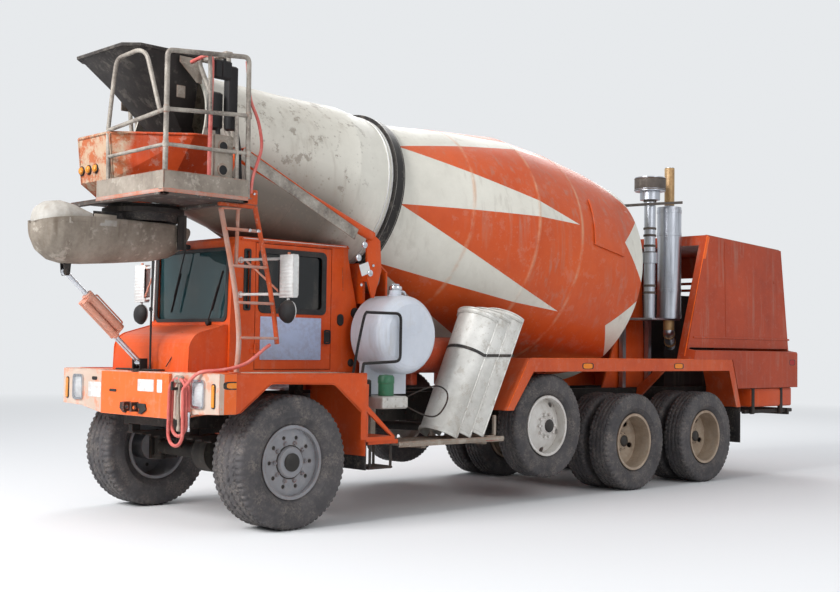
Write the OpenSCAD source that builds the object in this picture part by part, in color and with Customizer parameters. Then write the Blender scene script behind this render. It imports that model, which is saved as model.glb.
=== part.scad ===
// Front-discharge concrete mixer truck, full size, in millimetres.
// Stations along X are measured from the front axle, +X forwards, +Y to the left side.
// The whole model is then moved so that the origin is on the ground under its middle.

/* [Running gear] */
// Width over the body and over the rear tyres
body_w = 2440; // [2380:10:2500]
// Front axle to lifted axle
lift_axle_back = 3240; // [3150:10:3300]
// Front axle to the first driven rear axle
drive_axle_back = 4630; // [4600:10:4750]
// Spacing of the two driven rear axles
tandem_gap = 1370; // [1300:10:1400]
// How far the lifted axle is held above its running height
axle_lift = 215; // [150:5:240]
// Front tyre diameter
front_tyre_d = 1090; // [1060:5:1110]
// Front tyre width
front_tyre_w = 410; // [380:5:420]
// Rear tyre diameter
rear_tyre_d = 1030; // [1000:5:1050]
// Rear tyre width
rear_tyre_w = 272; // [250:2:280]
// Distance between the middles of a pair of twin tyres
twin_gap = 335; // [325:5:345]
// Middle of the front tyre from the truck's middle
front_track_half = 1005; // [990:5:1010]
// Middle of the lifted axle's tyre from the truck's middle
lift_track_half = 1030; // [1000:5:1040]
// Steering angle limit, each way
steer_limit = 32; // [20:1:35]

/* [Chassis] */
// Height of a frame rail
rail_h = 270; // [240:5:290]
// Outer face of a frame rail from the truck's middle
rail_out = 430; // [400:5:440]
// Top of the frame rails above the ground
rail_top = 1060; // [1040:5:1080]
// Front face of the bumper from the front axle
bumper_x = 760; // [740:5:800]
// Rear end of the engine hood from the front axle
tail_back = 8030; // [7950:10:8200]
// Top of the front deck above the ground
deck_top = 1260; // [1240:5:1280]
// Sheet thickness of decks, guards and steps
sheet = 8; // [6:1:12]

/* [Cab] */
// Half the cab's width
cab_half_w = 620; // [600:5:640]
// Windscreen face from the front axle
cab_front = 250; // [230:5:260]
// Back wall of the cab, behind the front axle
cab_back = 1220; // [1180:5:1225]
// Cab roof above the ground
cab_top = 2400; // [2360:5:2405]
// Thickness of the cab walls and doors
cab_wall = 40; // [30:2:50]
// Front edge of the door opening from the front axle
door_front = 0; // [-20:5:20]
// Length of the door opening
door_len = 840; // [800:5:860]
// Running gap round a door
door_gap = 6; // [6:1:10]
// Door opening limit
door_limit = 72; // [50:1:74]

/* [Drum] */
// Rear face of the drum, behind the front axle
drum_back = 5450; // [5400:10:5480]
// Height of the drum's axis at its rear face
drum_z = 2155; // [2140:5:2180]
// Rise of the drum's axis towards the front
drum_tilt = 10.7; // [10.2:0.1:11]
// Largest radius of the drum
drum_r = 1205; // [1180:5:1210]
// Wall of the drum
drum_wall = 8; // [6:1:12]
// Distance of the running ring along the axis
ring_s = 4010; // [3980:5:4040]
// Outer radius of the running ring
ring_r = 835; // [825:5:845]
// Width of the running ring
ring_w = 120; // [100:5:140]
// Length of the drum along its axis
drum_len = 6065; // [6000:5:6090]
// Radius of the drum's mouth
mouth_r = 560; // [540:5:570]

/* [Discharge gear] */
// Slewing axis of the chute from the front axle
slew_x = 720; // [715:5:730]
// Lifting pivot of the chute from the front axle
lift_x = 480; // [470:5:500]
// Height of the lifting pivot, and of the chute's axis
chute_z = 2370; // [2360:5:2375]
// Front end of the chute from the front axle
chute_tip = 1780; // [1760:5:1800]
// Radius of the chute at its tip
chute_r = 250; // [235:5:252]
// Wall of the chutes
chute_wall = 8; // [6:1:10]
// How far the chute lowers
chute_drop = 28; // [20:1:28]
// Height of the platform floor's underside
platform_z = 2645; // [2645:5:2670]
// Front edge of the platform from the front axle
platform_front = 1270; // [1250:5:1290]
// Left edge of the platform from the truck's middle
platform_left = 1100; // [1060:5:1120]
// Height of the guard rail above the platform
guard_h = 1080; // [1000:10:1100]
// Rim of the charge hopper above the ground
hopper_top = 3900; // [3880:5:3940]

/* [Rear body] */
// Top of the engine hood above the ground
hood_top = 2860; // [2820:5:2880]
// Half width of the hood's roof
hood_roof_half = 1080; // [1050:5:1100]
// Wall of the engine hood
hood_wall = 30; // [20:2:40]
// Diameter of the silencer
silencer_d = 280; // [240:5:300]

/* [Hidden] */
$fn = 48;
mid_x = (chute_tip - tail_back) / 2;
half_w = body_w / 2;
front_axle_z = front_tyre_d / 2;
rear_axle_z = rear_tyre_d / 2;
lift_axle_z = rear_axle_z + axle_lift;
twin_out_y = half_w - rear_tyre_w / 2 - 8;
twin_in_y = twin_out_y - twin_gap;
twin_mid_y = (twin_out_y + twin_in_y) / 2;
drive_axle2_back = drive_axle_back + tandem_gap;
rail_low = rail_top - rail_h;
// Clearances: a seat, and a running fit
seat = 0.3;
run = 0.1;
orange = [0.80, 0.22, 0.05];
white_paint = [0.80, 0.80, 0.77];
grey_steel = [0.55, 0.54, 0.52];
dark_steel = [0.12, 0.12, 0.13];
rubber = [0.09, 0.09, 0.09];
chrome = [0.75, 0.76, 0.78];
glass = [0.45, 0.60, 0.65, 0.4];
cream = [0.72, 0.71, 0.67];

// Points on an arc, for outlines
function arc(cx, cy, r, a0, a1, n) =
  [for (i = [0:n]) [cx + r * cos(a0 + (a1 - a0) * i / n), cy + r * sin(a0 + (a1 - a0) * i / n)]];

module box(x0, x1, y0, y1, z0, z1) {
  translate([x0, y0, z0]) cube([x1 - x0, y1 - y0, z1 - z0]);
}
// Round bar between two points
module bar(p, q, d) {
  v = q - p;
  h = norm(v);
  translate(p) rotate([0, acos(v.z / h), atan2(v.y, v.x)]) cylinder(d = d, h = h, $fn = 24);
}
// Round bar through a list of points, with ball corners
module rail(points, d) {
  for (i = [0:len(points) - 2]) bar(points[i], points[i + 1], d);
  for (p = points) translate(p) sphere(d = d + 3, $fn = 24);
}
module both_sides() {
  children();
  mirror([0, 1, 0]) children();
}
module on_side(side) {
  if (side > 0) children();
  else mirror([0, 1, 0]) children();
}
module placed() {
  translate([-mid_x, 0, 0]) children();
}
// Outline in X and Z carried along Y from y0 to y1
module across(outline, y0, y1) {
  translate([0, y1, 0]) rotate([90, 0, 0]) linear_extrude(y1 - y0) polygon(outline);
}
// Outline in Y and Z carried along X from x0 to x1
module along(outline, x0, x1) {
  translate([x0, 0, 0]) rotate([90, 0, 90]) linear_extrude(x1 - x0) polygon(outline);
}

// Frame

cross_members = [560, -900, -2050, -2900, -3900, -5320, -6800, -7650];
module chassis_frame() {
  rail_end = -(tail_back - 180);
  flange = 80;
  web = 10;
  color(dark_steel) {
    both_sides() difference() {
      box(rail_end, bumper_x - 160, rail_out - flange, rail_out, rail_low, rail_top);
      box(rail_end - 1, bumper_x - 150, rail_out - flange - 1, rail_out - web, rail_low + web, rail_top - web);
    }
    for (x = cross_members)
      box(x - 40, x + 40, -rail_out + web, rail_out - web, rail_low + web, rail_low + web + 150);
    // Beams that carry the front deck
    for (x = [530, -640]) {
      box(x - 50, x + 50, -half_w + 40, half_w - 40, deck_top - sheet - 80, deck_top - sheet);
      both_sides() box(x - 50, x + 50, rail_out - flange, rail_out, rail_top, deck_top - sheet - 80);
    }
    both_sides() box(-690, 580, rail_out - flange, rail_out, deck_top - sheet - 80, deck_top - sheet);
    // Rear under-run bar on its two legs
    both_sides() box(rail_end, rail_end + 80, rail_out - 80, rail_out, 720, rail_low);
    box(rail_end - 40, rail_end, -half_w + 40, half_w - 40, 720, 800);
  }
}

// Front bumper: a folded box with a deeper middle, lamp recesses and a hook

bumper_t = 160;
panel_t = 30;
lamp_y = 945;
lamp_z = 1100;
lamp_half_w = 85;
lamp_half_h = 110;
// Towing ears: their middles in Y, thickness, and the bore for the pin
tow_y = [-20, 100];
tow_ear_t = 24;
tow_x = bumper_x + 70;
tow_z = 960;
tow_pin_d = 32;
// Block behind a lamp from x0 to x1, smaller by a margin all round
module lamp_box(x0, x1, margin) {
  box(x0, x1, lamp_y - lamp_half_w + margin, lamp_y + lamp_half_w - margin,
    lamp_z - lamp_half_h + margin, lamp_z + lamp_half_h - margin);
}
module front_bumper() {
  lamp_deep = 60;
  low_mid = 885;
  low_end = 950;
  outline = [[-half_w, low_end], [-900, 940], [-530, low_mid], [530, low_mid], [900, 940],
    [half_w, low_end], [half_w, deck_top], [-half_w, deck_top]];
  inner = [[-half_w + sheet, low_end + sheet], [-898, 940 + sheet], [-528, low_mid + sheet],
    [528, low_mid + sheet], [898, 940 + sheet], [half_w - sheet, low_end + sheet],
    [half_w - sheet, deck_top - sheet], [-half_w + sheet, deck_top - sheet]];
  color(white_paint) {
    difference() {
      along(outline, bumper_x - bumper_t, bumper_x);
      along(inner, bumper_x - bumper_t - 1, bumper_x - sheet);
      both_sides() lamp_box(bumper_x - 20, bumper_x + 1, 0);
    }
    // Raised middle panel
    box(bumper_x, bumper_x + panel_t, -500, 560, low_mid + 5, deck_top - 10);
    // Lamp buckets with their reflectors
    both_sides() difference() {
      lamp_box(bumper_x - lamp_deep, bumper_x, 0);
      lamp_box(bumper_x - lamp_deep + 8, bumper_x + 1, 10);
    }
    both_sides() translate([bumper_x - lamp_deep + 8, lamp_y, lamp_z]) rotate([0, 90, 0])
      cylinder(d = 130, h = 45);
    // Towing ears, bored for a pin
    difference() {
      for (y = tow_y) box(bumper_x + panel_t, tow_x + 28,
        y - tow_ear_t / 2, y + tow_ear_t / 2, tow_z - 35, tow_z + 45);
      bar([tow_x, tow_y[0] - 20, tow_z], [tow_x, tow_y[1] + 20, tow_z], tow_pin_d);
    }
  }
}

// Front deck: floor plate, side skirts with the wheel arch, and the wheel house behind

arch = [[560, 960], [265, 1190], [-390, 1180], [-690, 940]];
module front_deck() {
  deck_back = -750;
  floor_z = deck_top - sheet;
  skirt = concat([[bumper_x - bumper_t, floor_z], [bumper_x - bumper_t, 950]], arch,
    [[-690, 700], [deck_back, 700], [deck_back, floor_z]]);
  color(orange) {
    box(deck_back, bumper_x - bumper_t, -half_w, half_w, floor_z, deck_top);
    both_sides() {
      across(skirt, half_w - sheet, half_w);
      // Rear wall of the wheel house
      box(deck_back, deck_back + sheet, 470, half_w - sheet, 560, floor_z);
      // Entry step frame behind the wheel
      across([[deck_back, 720], [deck_back - 330, 720], [deck_back - 330, 680], [deck_back, 680]],
        half_w - 330, half_w);
      across([[deck_back, 1000], [deck_back, 940], [deck_back - 330, 690], [deck_back - 330, 720]],
        half_w - 20, half_w);
    }
  }
}

// Axles

module leaf_spring(x, y, z, length) {
  for (i = [0:4])
    box(x - length * (1 - 0.16 * i) / 2, x + length * (1 - 0.16 * i) / 2, y - 45, y + 45,
      z - 16 * (i + 1), z - 16 * i);
}
king_y = 800;
module front_axle() {
  spring_z = rail_low - 60;
  color(dark_steel) {
    bar([0, -king_y + 60, front_axle_z], [0, king_y - 60, front_axle_z], 130);
    translate([0, 60, front_axle_z]) rotate([90, 0, 0]) cylinder(d = 330, h = 190, center = true);
    both_sides() {
      translate([0, king_y, front_axle_z - 80]) difference() {
        cylinder(d = 100, h = 160);
        translate([0, 0, -1]) cylinder(d = 50 + 2 * run, h = 162);
      }
      box(-50, 50, king_y - 90, king_y - 34, front_axle_z - 55, front_axle_z + 55);
      leaf_spring(0, 390, spring_z, 1120);
      box(-80, 80, 340, 440, front_axle_z + 20, spring_z - 79);
      for (x = [-520, 520]) box(x - 40, x + 40, 360, 420, spring_z - 1, rail_low);
    }
  }
}
module lift_axle() {
  color(dark_steel) translate([-lift_axle_back, 0, 0]) {
    bar([0, -lift_track_half + 100, lift_axle_z], [0, lift_track_half - 100, lift_axle_z], 120);
    both_sides() {
      bar([0, lift_track_half - 101, lift_axle_z], [0, lift_track_half + 45, lift_axle_z], 70);
      box(-60, 60, 465, 545, lift_axle_z - 60, rail_low + 130);
      box(40, 460, 470, 540, lift_axle_z - 40, lift_axle_z + 40);
      box(400, 460, rail_out, 540, lift_axle_z - 40, rail_top - 60);
      box(-60, 60, rail_out, 470, rail_low + 40, rail_low + 130);
    }
  }
}
module drive_axle() {
  tube_end = twin_in_y - 130;
  bar([0, -tube_end, rear_axle_z], [0, tube_end, rear_axle_z], 150);
  translate([0, 0, rear_axle_z]) rotate([90, 0, 0]) cylinder(d = 420, h = 180, center = true);
  both_sides() bar([0, tube_end - 1, rear_axle_z], [0, twin_mid_y + 60, rear_axle_z], 110);
}
module drive_axles() {
  beam_y = 390;
  middle = -(drive_axle_back + tandem_gap / 2);
  color(dark_steel) {
    for (x = [-drive_axle_back, -drive_axle2_back]) translate([x, 0, 0]) drive_axle();
    // Walking beams, their saddle and the shaft between the axles
    both_sides() {
      across([[-drive_axle_back + 60, rear_axle_z - 60], [-drive_axle_back + 60, rear_axle_z + 60],
        [middle, rear_axle_z + 90], [-drive_axle2_back - 60, rear_axle_z + 60],
        [-drive_axle2_back - 60, rear_axle_z - 60], [middle, rear_axle_z - 110]], beam_y - 45, beam_y + 45);
      across([[middle - 110, rear_axle_z + 60], [middle - 200, rail_low], [middle + 200, rail_low],
        [middle + 110, rear_axle_z + 60]], beam_y - 40, beam_y + 40);
    }
    bar([-drive_axle_back, 0, rear_axle_z + 60], [-drive_axle2_back, 0, rear_axle_z + 60], 90);
  }
}

// Steering knuckle: two ears on the kingpin, an upright and the wheel spindle

module knuckle(side) {
  gap = 0.5;
  color(dark_steel) on_side(side) translate([0, 0, front_axle_z]) {
    for (z = [80 + gap, -80 - gap - 34]) {
      translate([0, king_y, z]) cylinder(d = 110, h = 34);
      box(-45, 45, king_y, king_y + 96, z, z + 34);
    }
    translate([0, king_y, -82]) cylinder(d = 50, h = 164);
    box(-55, 55, king_y + 66, king_y + 96, -80 - gap - 34, 80 + gap + 34);
    bar([0, king_y + 90, 0], [0, front_track_half + 90, 0], 80);
    // Steering arm
    box(-170, -40, king_y + 10, king_y + 50, -80 - gap - 34, -80 - gap);
    translate([-170, king_y + 30, -80 - gap - 34]) cylinder(d = 60, h = 34);
  }
}

// Wheels. Outlines are in radius and width, turned about the Y axis.

module turned(outline) {
  rotate([90, 0, 0]) rotate_extrude($fn = 96) polygon(outline);
}
bead_r = 286;
// Tyre section: bead, bulging sidewall, rounded shoulder and a flat tread with grooves
module tyre(d, w, side_bulge) {
  r = d / 2;
  tread_half = w / 2 - side_bulge;
  shoulder = 30;
  groove = 14;
  half = concat(
    [[bead_r, w / 2 - 62], [bead_r + 30, w / 2 - 44]],
    [[bead_r + (r - bead_r) * 0.30, w / 2 - 8], [bead_r + (r - bead_r) * 0.52, w / 2],
      [bead_r + (r - bead_r) * 0.74, w / 2 - 6]],
    arc(r - shoulder, tread_half - shoulder + 6, shoulder, 60, 0, 4));
  grooves = [for (y = [0.62, 0.22]) each [[r, tread_half * y + 7], [r - groove, tread_half * y + 5],
    [r - groove, tread_half * y - 5], [r, tread_half * y - 7]]];
  upper = concat(half, grooves);
  lower = [for (i = [len(upper) - 1:-1:0]) [upper[i].x, -upper[i].y]];
  turned(concat(upper, lower));
}
// Rim barrel with flanges, from y0 to y1, standing for the bead seats
module rim_barrel(y0, y1) {
  wall = 12;
  lip = 16;
  r = bead_r - seat;
  turned([[r - wall, -y0], [r - wall, -y1], [r + lip, -y1], [r + lip, -y1 + 10], [r, -y1 + 14],
    [r, -y0 - 14], [r + lip, -y0 - 10], [r + lip, -y0]]);
}
hub_r = 120;
module front_rim(side) {
  face = 128;
  color(grey_steel) place_wheel(0, front_track_half, front_axle_z, side) difference() {
    union() {
      rim_barrel(-166, 166);
      turned([[42 - 2 + run, -face], [bead_r - 8, -face], [bead_r - 8, -face + 16], [130, -face + 16],
        [130, 100], [40 + run, 100]]);
      // Hub cover
      turned([[0, -face - 26], [118, -face - 26], [128, -face - 12], [128, -face], [0, -face]]);
    }
    for (i = [0:9]) rotate([0, 36 * i, 0]) translate([205, 0, 0]) rotate([-90, 0, 0])
      translate([0, 0, face - 30]) cylinder(d = 34, h = 60, $fn = 24);
  }
}
module lift_rim(side) {
  color(white_paint) place_wheel(-lift_axle_back, lift_track_half, lift_axle_z, side) difference() {
    union() {
      rim_barrel(-105, 105);
      // Dished disc, coming out towards the hub
      turned([[35 + run, -82], [140, -82], [232, -20], [bead_r - 8, -10], [bead_r - 8, 2], [228, -8],
        [136, -70], [hub_r, -70], [hub_r, 60], [35 + run, 60]]);
      turned([[0, -120], [75, -120], [95, -96], [95, -82], [0, -82]]);
      for (i = [0:9]) rotate([0, 36 * i, 0]) translate([115, 0, 0]) rotate([-90, 0, 0])
        translate([0, 0, 80]) cylinder(d = 32, h = 26, $fn = 6);
    }
    for (i = [0:4]) rotate([0, 72 * i + 20, 0]) translate([245, 0, 0]) rotate([-90, 0, 0])
      translate([0, 0, -20]) cylinder(d = 60, h = 80, $fn = 24);
  }
}
// Twin rims on one hub: the outer disc is deep inside, the inner one is hidden
module twin_rims(x, side) {
  color(grey_steel) place_wheel(x, twin_mid_y, rear_axle_z, side) difference() {
    union() {
      for (s = [1, -1]) translate([0, s * twin_gap / 2, 0]) rim_barrel(-105, 105);
      turned([[55 + run, -16], [140, -16], [232, -60], [bead_r - 8, -70], [bead_r - 8, -84], [228, -74],
        [136, -30], [95, -30], [95, -70], [55 + run, -70]]);
      turned([[55 + run, 16], [140, 16], [232, 60], [bead_r - 8, 70], [bead_r - 8, 84], [228, 74],
        [136, 30], [hub_r, 30], [hub_r, 70], [55 + run, 70]]);
      turned([[55 + run, -16.5], [150, -16.5], [150, 16.5], [55 + run, 16.5]]);
      turned([[0, -130], [70, -130], [95, -112], [95, -68], [0, -68]]);
      for (i = [0:9]) rotate([0, 36 * i, 0]) translate([118, 0, 0]) rotate([-90, 0, 0])
        translate([0, 0, 28]) cylinder(d = 32, h = 34, $fn = 6);
    }
    for (i = [0:4]) rotate([0, 72 * i + 20, 0]) translate([205, 0, 0]) rotate([-90, 0, 0])
      translate([0, 0, -90]) cylinder(d = 60, h = 190, $fn = 24);
  }
}
module place_wheel(x, y, z, side) {
  on_side(side) translate([x, y, z]) children();
}
module front_tyre(side) {
  color(rubber) place_wheel(0, front_track_half, front_axle_z, side) tyre(front_tyre_d, front_tyre_w, 12);
}
module lift_tyre(side) {
  color(rubber) place_wheel(-lift_axle_back, lift_track_half, lift_axle_z, side)
    tyre(rear_tyre_d, rear_tyre_w, 10);
}
module twin_tyres(x, side) {
  color(rubber) place_wheel(x, twin_mid_y, rear_axle_z, side)
    for (s = [1, -1]) translate([0, s * twin_gap / 2, 0]) tyre(rear_tyre_d, rear_tyre_w, 10);
}

// Cab

window_low = 1790;
rear_window_low = 1700;
window_high = 2290;
door_low = deck_top + 20;
door_high = cab_top - 40;
snout_front = 632;
snout = concat([[cab_front, deck_top], [snout_front, deck_top], [snout_front - 5, deck_top + 130]],
  arc(snout_front - 160, deck_top + 180, 150, 10, 75, 5), [[cab_front, 1655]]);
drum_clear = 45;
// Door hinges: foot of each, length of one knuckle, leaf, and the pin's axis outside the wall
hinge_z = [door_low + 140, door_high - 240];
hinge_len = 40;
hinge_d = 18;
hinge_pin_d = 9;
hinge_out = 12;
hinge_t = 8;
hinge_leaf = 45;
// Space that the drum's neck needs over the cab
module drum_space(clear) {
  on_drum_axis() translate([0, 0, ring_s - 100]) {
    cylinder(r = neck_r + clear, h = neck_end - ring_s + 100, $fn = 96);
    translate([0, 0, neck_end - ring_s + 100])
      cylinder(r1 = neck_r + clear, r2 = mouth_r + clear, h = drum_len - neck_end, $fn = 96);
  }
}
module cab_shell() {
  h = cab_half_w;
  t = cab_wall;
  back_slope = [[-cab_back + 190, cab_top], [-cab_back + 190, cab_top - 100], [-cab_back, deck_top + 260]];
  body = concat([[-cab_back, deck_top], [cab_front, deck_top], [cab_front, 1655], [cab_front - 15, window_high],
    [cab_front - 35, cab_top - 50]], arc(cab_front - 85, cab_top - 50, 50, 0, 90, 3), back_slope);
  room = [[-cab_back + t, deck_top + t], [cab_front - t, deck_top + t], [cab_front - t, 1640],
    [cab_front - t - 15, window_high], [cab_front - t - 60, cab_top - t], [-cab_back + 190 + t, cab_top - t],
    [-cab_back + 190 + t, cab_top - 105], [-cab_back + t + 3, deck_top + 260]];
  color(orange) difference() {
    union() {
      difference() {
        across(body, -h, h);
        drum_space(drum_clear);
      }
      across(snout, -h + 30, h - 30);
      // Rain gutters
      both_sides() box(-cab_back + 190, cab_front - 90, h, h + 14, cab_top - 30, cab_top - 16);
    }
    // The rest is cut away: room, snout, windows and doorways
    difference() {
      across(room, -h + t, h - t);
      drum_space(drum_clear + t);
    }
    // Hollow snout
    across([for (p = snout) [p.x < cab_front + 1 ? cab_front - 1 : p.x - 20,
      p.y < deck_top + 1 ? deck_top - 1 : p.y - 20]], -h + 50, h - 50);
    // Windscreen, rear window and door openings
    box(cab_front - 120, cab_front + 60, -520, 560, 1700, window_high);
    box(-cab_back - 1, -cab_back + 200, -400, 400, rear_window_low, rear_window_low + 260);
    both_sides() box(door_front - door_len, door_front, h - t - 1, h + 20, door_low, door_high);
    both_sides() box(door_front + 60, door_front + 110, h - t - 1, h + 1, window_low, window_high);
  }
  // Hinge knuckles with their pins
  color(orange) both_sides() for (z = hinge_z) {
    box(door_front, door_front + hinge_leaf, h, h + hinge_t, z, z + hinge_len);
    translate([door_front, h + hinge_out, z]) cylinder(d = hinge_d, h = hinge_len);
    translate([door_front, h + hinge_out, z]) cylinder(d = hinge_pin_d, h = 2 * hinge_len);
  }
}
module cab_glass() {
  t = 6;
  color(glass) {
    box(cab_front - 40, cab_front - 40 + t, -520 + seat, 560 - seat, 1700 + seat, window_high - seat);
    intersection() {
      across([for (p = [[0, 0], [t, 0], [t + 97.4, 410], [97.4, 410]])
        [-cab_back + 66 + p.x, rear_window_low - 100 + p.y]], -400 + seat, 400 - seat);
      box(-cab_back, 0, -401, 401, rear_window_low + seat, rear_window_low + 260 - seat);
    }
    both_sides() box(door_front + 60 + seat, door_front + 110 - seat, cab_half_w - 24, cab_half_w - 18,
      window_low + seat, window_high - seat);
  }
}
module door(side) {
  h = cab_half_w;
  x0 = door_front - door_len + door_gap;
  x1 = door_front - door_gap;
  color(orange) on_side(side) {
    difference() {
      box(x0, x1, h - cab_wall, h, door_low + door_gap, door_high - door_gap);
      box(x0 + 90, x1 - 60, h - cab_wall - 1, h + 1, window_low, window_high);
    }
    // Handle
    box(x0 + 20, x0 + 90, h, h + 22, 1510, 1630);
    // Blank plate
    box(x0 + 110, x1 - 50, h, h + 3, 1360, 1740);
    // Hinge eyes over the cab's pins
    for (z = hinge_z) difference() {
      union() {
        box(door_front - hinge_leaf, door_front - 2, h, h + hinge_t, z + hinge_len + seat, z + 2 * hinge_len);
        translate([door_front, h + hinge_out, z + hinge_len + seat])
          cylinder(d = hinge_d, h = hinge_len - seat);
      }
      translate([door_front, h + hinge_out, z]) cylinder(d = hinge_pin_d + 2 * run, h = 3 * hinge_len);
    }
  }
}
module door_glass(side) {
  h = cab_half_w;
  x0 = door_front - door_len + door_gap;
  x1 = door_front - door_gap;
  color(glass) on_side(side)
    box(x0 + 90 + seat, x1 - 60 - seat, h - 24, h - 18, window_low + seat, window_high - seat);
}
module cab_fittings() {
  floor_z = deck_top + cab_wall;
  color(dark_steel) {
    // Seat: base, cushion and back
    box(-720, -400, -180, 180, floor_z, floor_z + 260);
    box(-780, -300, -250, 250, floor_z + 260, floor_z + 380);
    across([[-780, floor_z + 380], [-700, floor_z + 380], [-800, floor_z + 780], [-880, floor_z + 780]], -240, 240);
    // Dash and steering column with its wheel
    across([[cab_front - cab_wall - 4, floor_z], [cab_front - cab_wall - 4, floor_z + 330],
      [-60, floor_z + 300], [-30, floor_z]], -cab_half_w + 60, cab_half_w - 60);
    bar([30, 0, floor_z + 280], [-150, 0, floor_z + 430], 50);
    translate([-165, 0, floor_z + 442]) rotate([0, -50, 0]) {
      rotate_extrude($fn = 48) translate([205, 0]) circle(d = 32, $fn = 16);
      for (a = [0, 120, 240]) rotate([0, 90, a]) cylinder(d = 22, h = 205, $fn = 16);
      cylinder(d = 90, h = 30, center = true);
    }
  }
}

// Drum: outline in distance along the axis and radius

neck_r = 790;
neck_end = 4520;
drum_profile = [[0, 535], [720, drum_r - 22], [1180, drum_r], [1810, drum_r], [2446, drum_r - 40],
  [3217, 985], [ring_s - 20, neck_r], [neck_end, neck_r], [5058, 700], [drum_len, mouth_r]];
mouth_band = 40;
flange_r = 300;
flange_t = 40;
module on_drum_axis() {
  translate([-drum_back, 0, drum_z]) rotate([0, -drum_tilt, 0]) rotate([0, 90, 0]) children();
}
module drum_shell() {
  n = len(drum_profile);
  // Where the inner line meets the rear wall and the open mouth, it is moved along the axis
  step = [for (i = [0:n - 1]) i == 0 ? drum_wall : i == n - 1 ? 1 : 0];
  inner = [for (i = [n - 1:-1:0]) [drum_profile[i].y - drum_wall, drum_profile[i].x + step[i]]];
  color(orange) on_drum_axis() {
    difference() {
      union() {
        rotate_extrude($fn = 96) polygon(concat([[0, 0]], [for (p = drum_profile) [p.y, p.x]], [[0, drum_len]]));
        // Running ring, mouth band and flange of the drive
        translate([0, 0, ring_s]) cylinder(r = ring_r, h = ring_w, $fn = 96);
        translate([0, 0, drum_len - mouth_band]) cylinder(r = mouth_r + 10, h = mouth_band, $fn = 96);
        translate([0, 0, -flange_t]) cylinder(r = flange_r, h = flange_t + 1);
      }
      rotate_extrude($fn = 96) polygon(concat([[0, drum_len + 1]], inner, [[0, drum_wall]]));
    }
  }
}

// Pedestals

roller_r = 130;
roller_a = 34;
ring_mid = ring_s + ring_w / 2;
ped_x = -drum_back + cos(drum_tilt) * ring_mid + sin(drum_tilt) * (ring_r + roller_r) * cos(roller_a);
col_back = ped_x - 150;
col_front = ped_x + 62;
ear_front = ped_x + 146;
brace_head = [330, 760, 3060];
floor_t = 8;
column = [[350, rail_top], [rail_out, rail_top], [640, 1900], [400, 1900]];
module roller(side) {
  color(dark_steel) on_drum_axis() rotate([0, 0, side * roller_a])
    translate([ring_r + roller_r + seat, 0, ring_mid - 75]) difference() {
      cylinder(r = roller_r, h = 150);
      translate([0, 0, -1]) cylinder(r = 40 + run, h = 152);
    }
}
plate_t = 22;
module front_pedestal() {
  shelf_z = 1880;
  skin_t = 10;
  color(orange) {
    // Roller shafts
    on_drum_axis() for (s = [1, -1]) rotate([0, 0, s * roller_a])
      translate([ring_r + roller_r + seat, 0, ring_mid - 150]) cylinder(r = 40, h = 300);
    both_sides() {
      // Column of two plates and an outer skin, with a shelf and ears for the roller's shaft
      for (x = [col_back, col_front - plate_t]) along(column, x, x + plate_t);
      along([column[1], column[1] + [skin_t, 0], column[2] + [skin_t, 0], column[2]], col_back, col_front);
      box(col_back, ear_front, 400, 690, shelf_z, shelf_z + 30);
      for (x = [col_back, ear_front - plate_t])
        along([[400, 1910], [690, 1910], [690, 2180], [600, 2250], [480, 2250], [400, 2180]], x, x + plate_t);
      // Shoulder plate and the brace up to the hopper frame
      across([[ear_front - 25, 1930], [ear_front, 1930], [ear_front + 60, 2100], [ear_front + 70, 2440],
        [ear_front + 20, 2520], [ear_front - 90, 2450], [ear_front - 110, 2180]], 790, 812);
      box(ear_front - plate_t, ear_front, 688, 792, 2080, 2180);
      bar([ear_front + 30, 830, 2480], brace_head, 90);
      bar(brace_head, [470, 740, platform_z + 44], 60);
      box(430, 510, 700, 758, platform_z + floor_t + seat, platform_z + 50);
    }
    box(col_back, col_back + 60, -440, 440, shelf_z - 80, shelf_z);
  }
}
module rear_pedestal() {
  back = -drum_back - 450;
  cheek_y = 330;
  gear_back = -190;
  motor_back = -400;
  color(orange) {
    both_sides() difference() {
      across([[back - 80, rail_top], [back + 750, rail_top], [back + 340, drum_z - 140], [back + 340, drum_z + 160],
        [back, drum_z + 160]], cheek_y, cheek_y + plate_t);
      translate([back + 480, cheek_y + 70, rail_top + 260]) rotate([90, 0, 0]) cylinder(d = 90, h = 100);
    }
    box(back, back + 20, -cheek_y, cheek_y, rail_top, drum_z + 160);
  }
  // Gearbox and motor on the drum's axis
  color(dark_steel) on_drum_axis() {
    translate([0, 0, gear_back]) cylinder(r = 260, h = -gear_back - flange_t - seat);
    translate([0, 0, motor_back]) cylinder(r = 160, h = gear_back - motor_back + 1);
  }
}

// Charge hopper: flared and open at the top, its spout reaching into the drum's mouth

// Ring with its two front corners cut: height, back, front, half width, and the cuts along X and Y
function hopper_ring(z, x0, x1, y, cut_x, cut_y) =
  [[x0, -y, z], [x1 - cut_x, -y, z], [x1, -y + cut_y, z], [x1, y - cut_y, z], [x1 - cut_x, y, z], [x0, y, z]];
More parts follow.
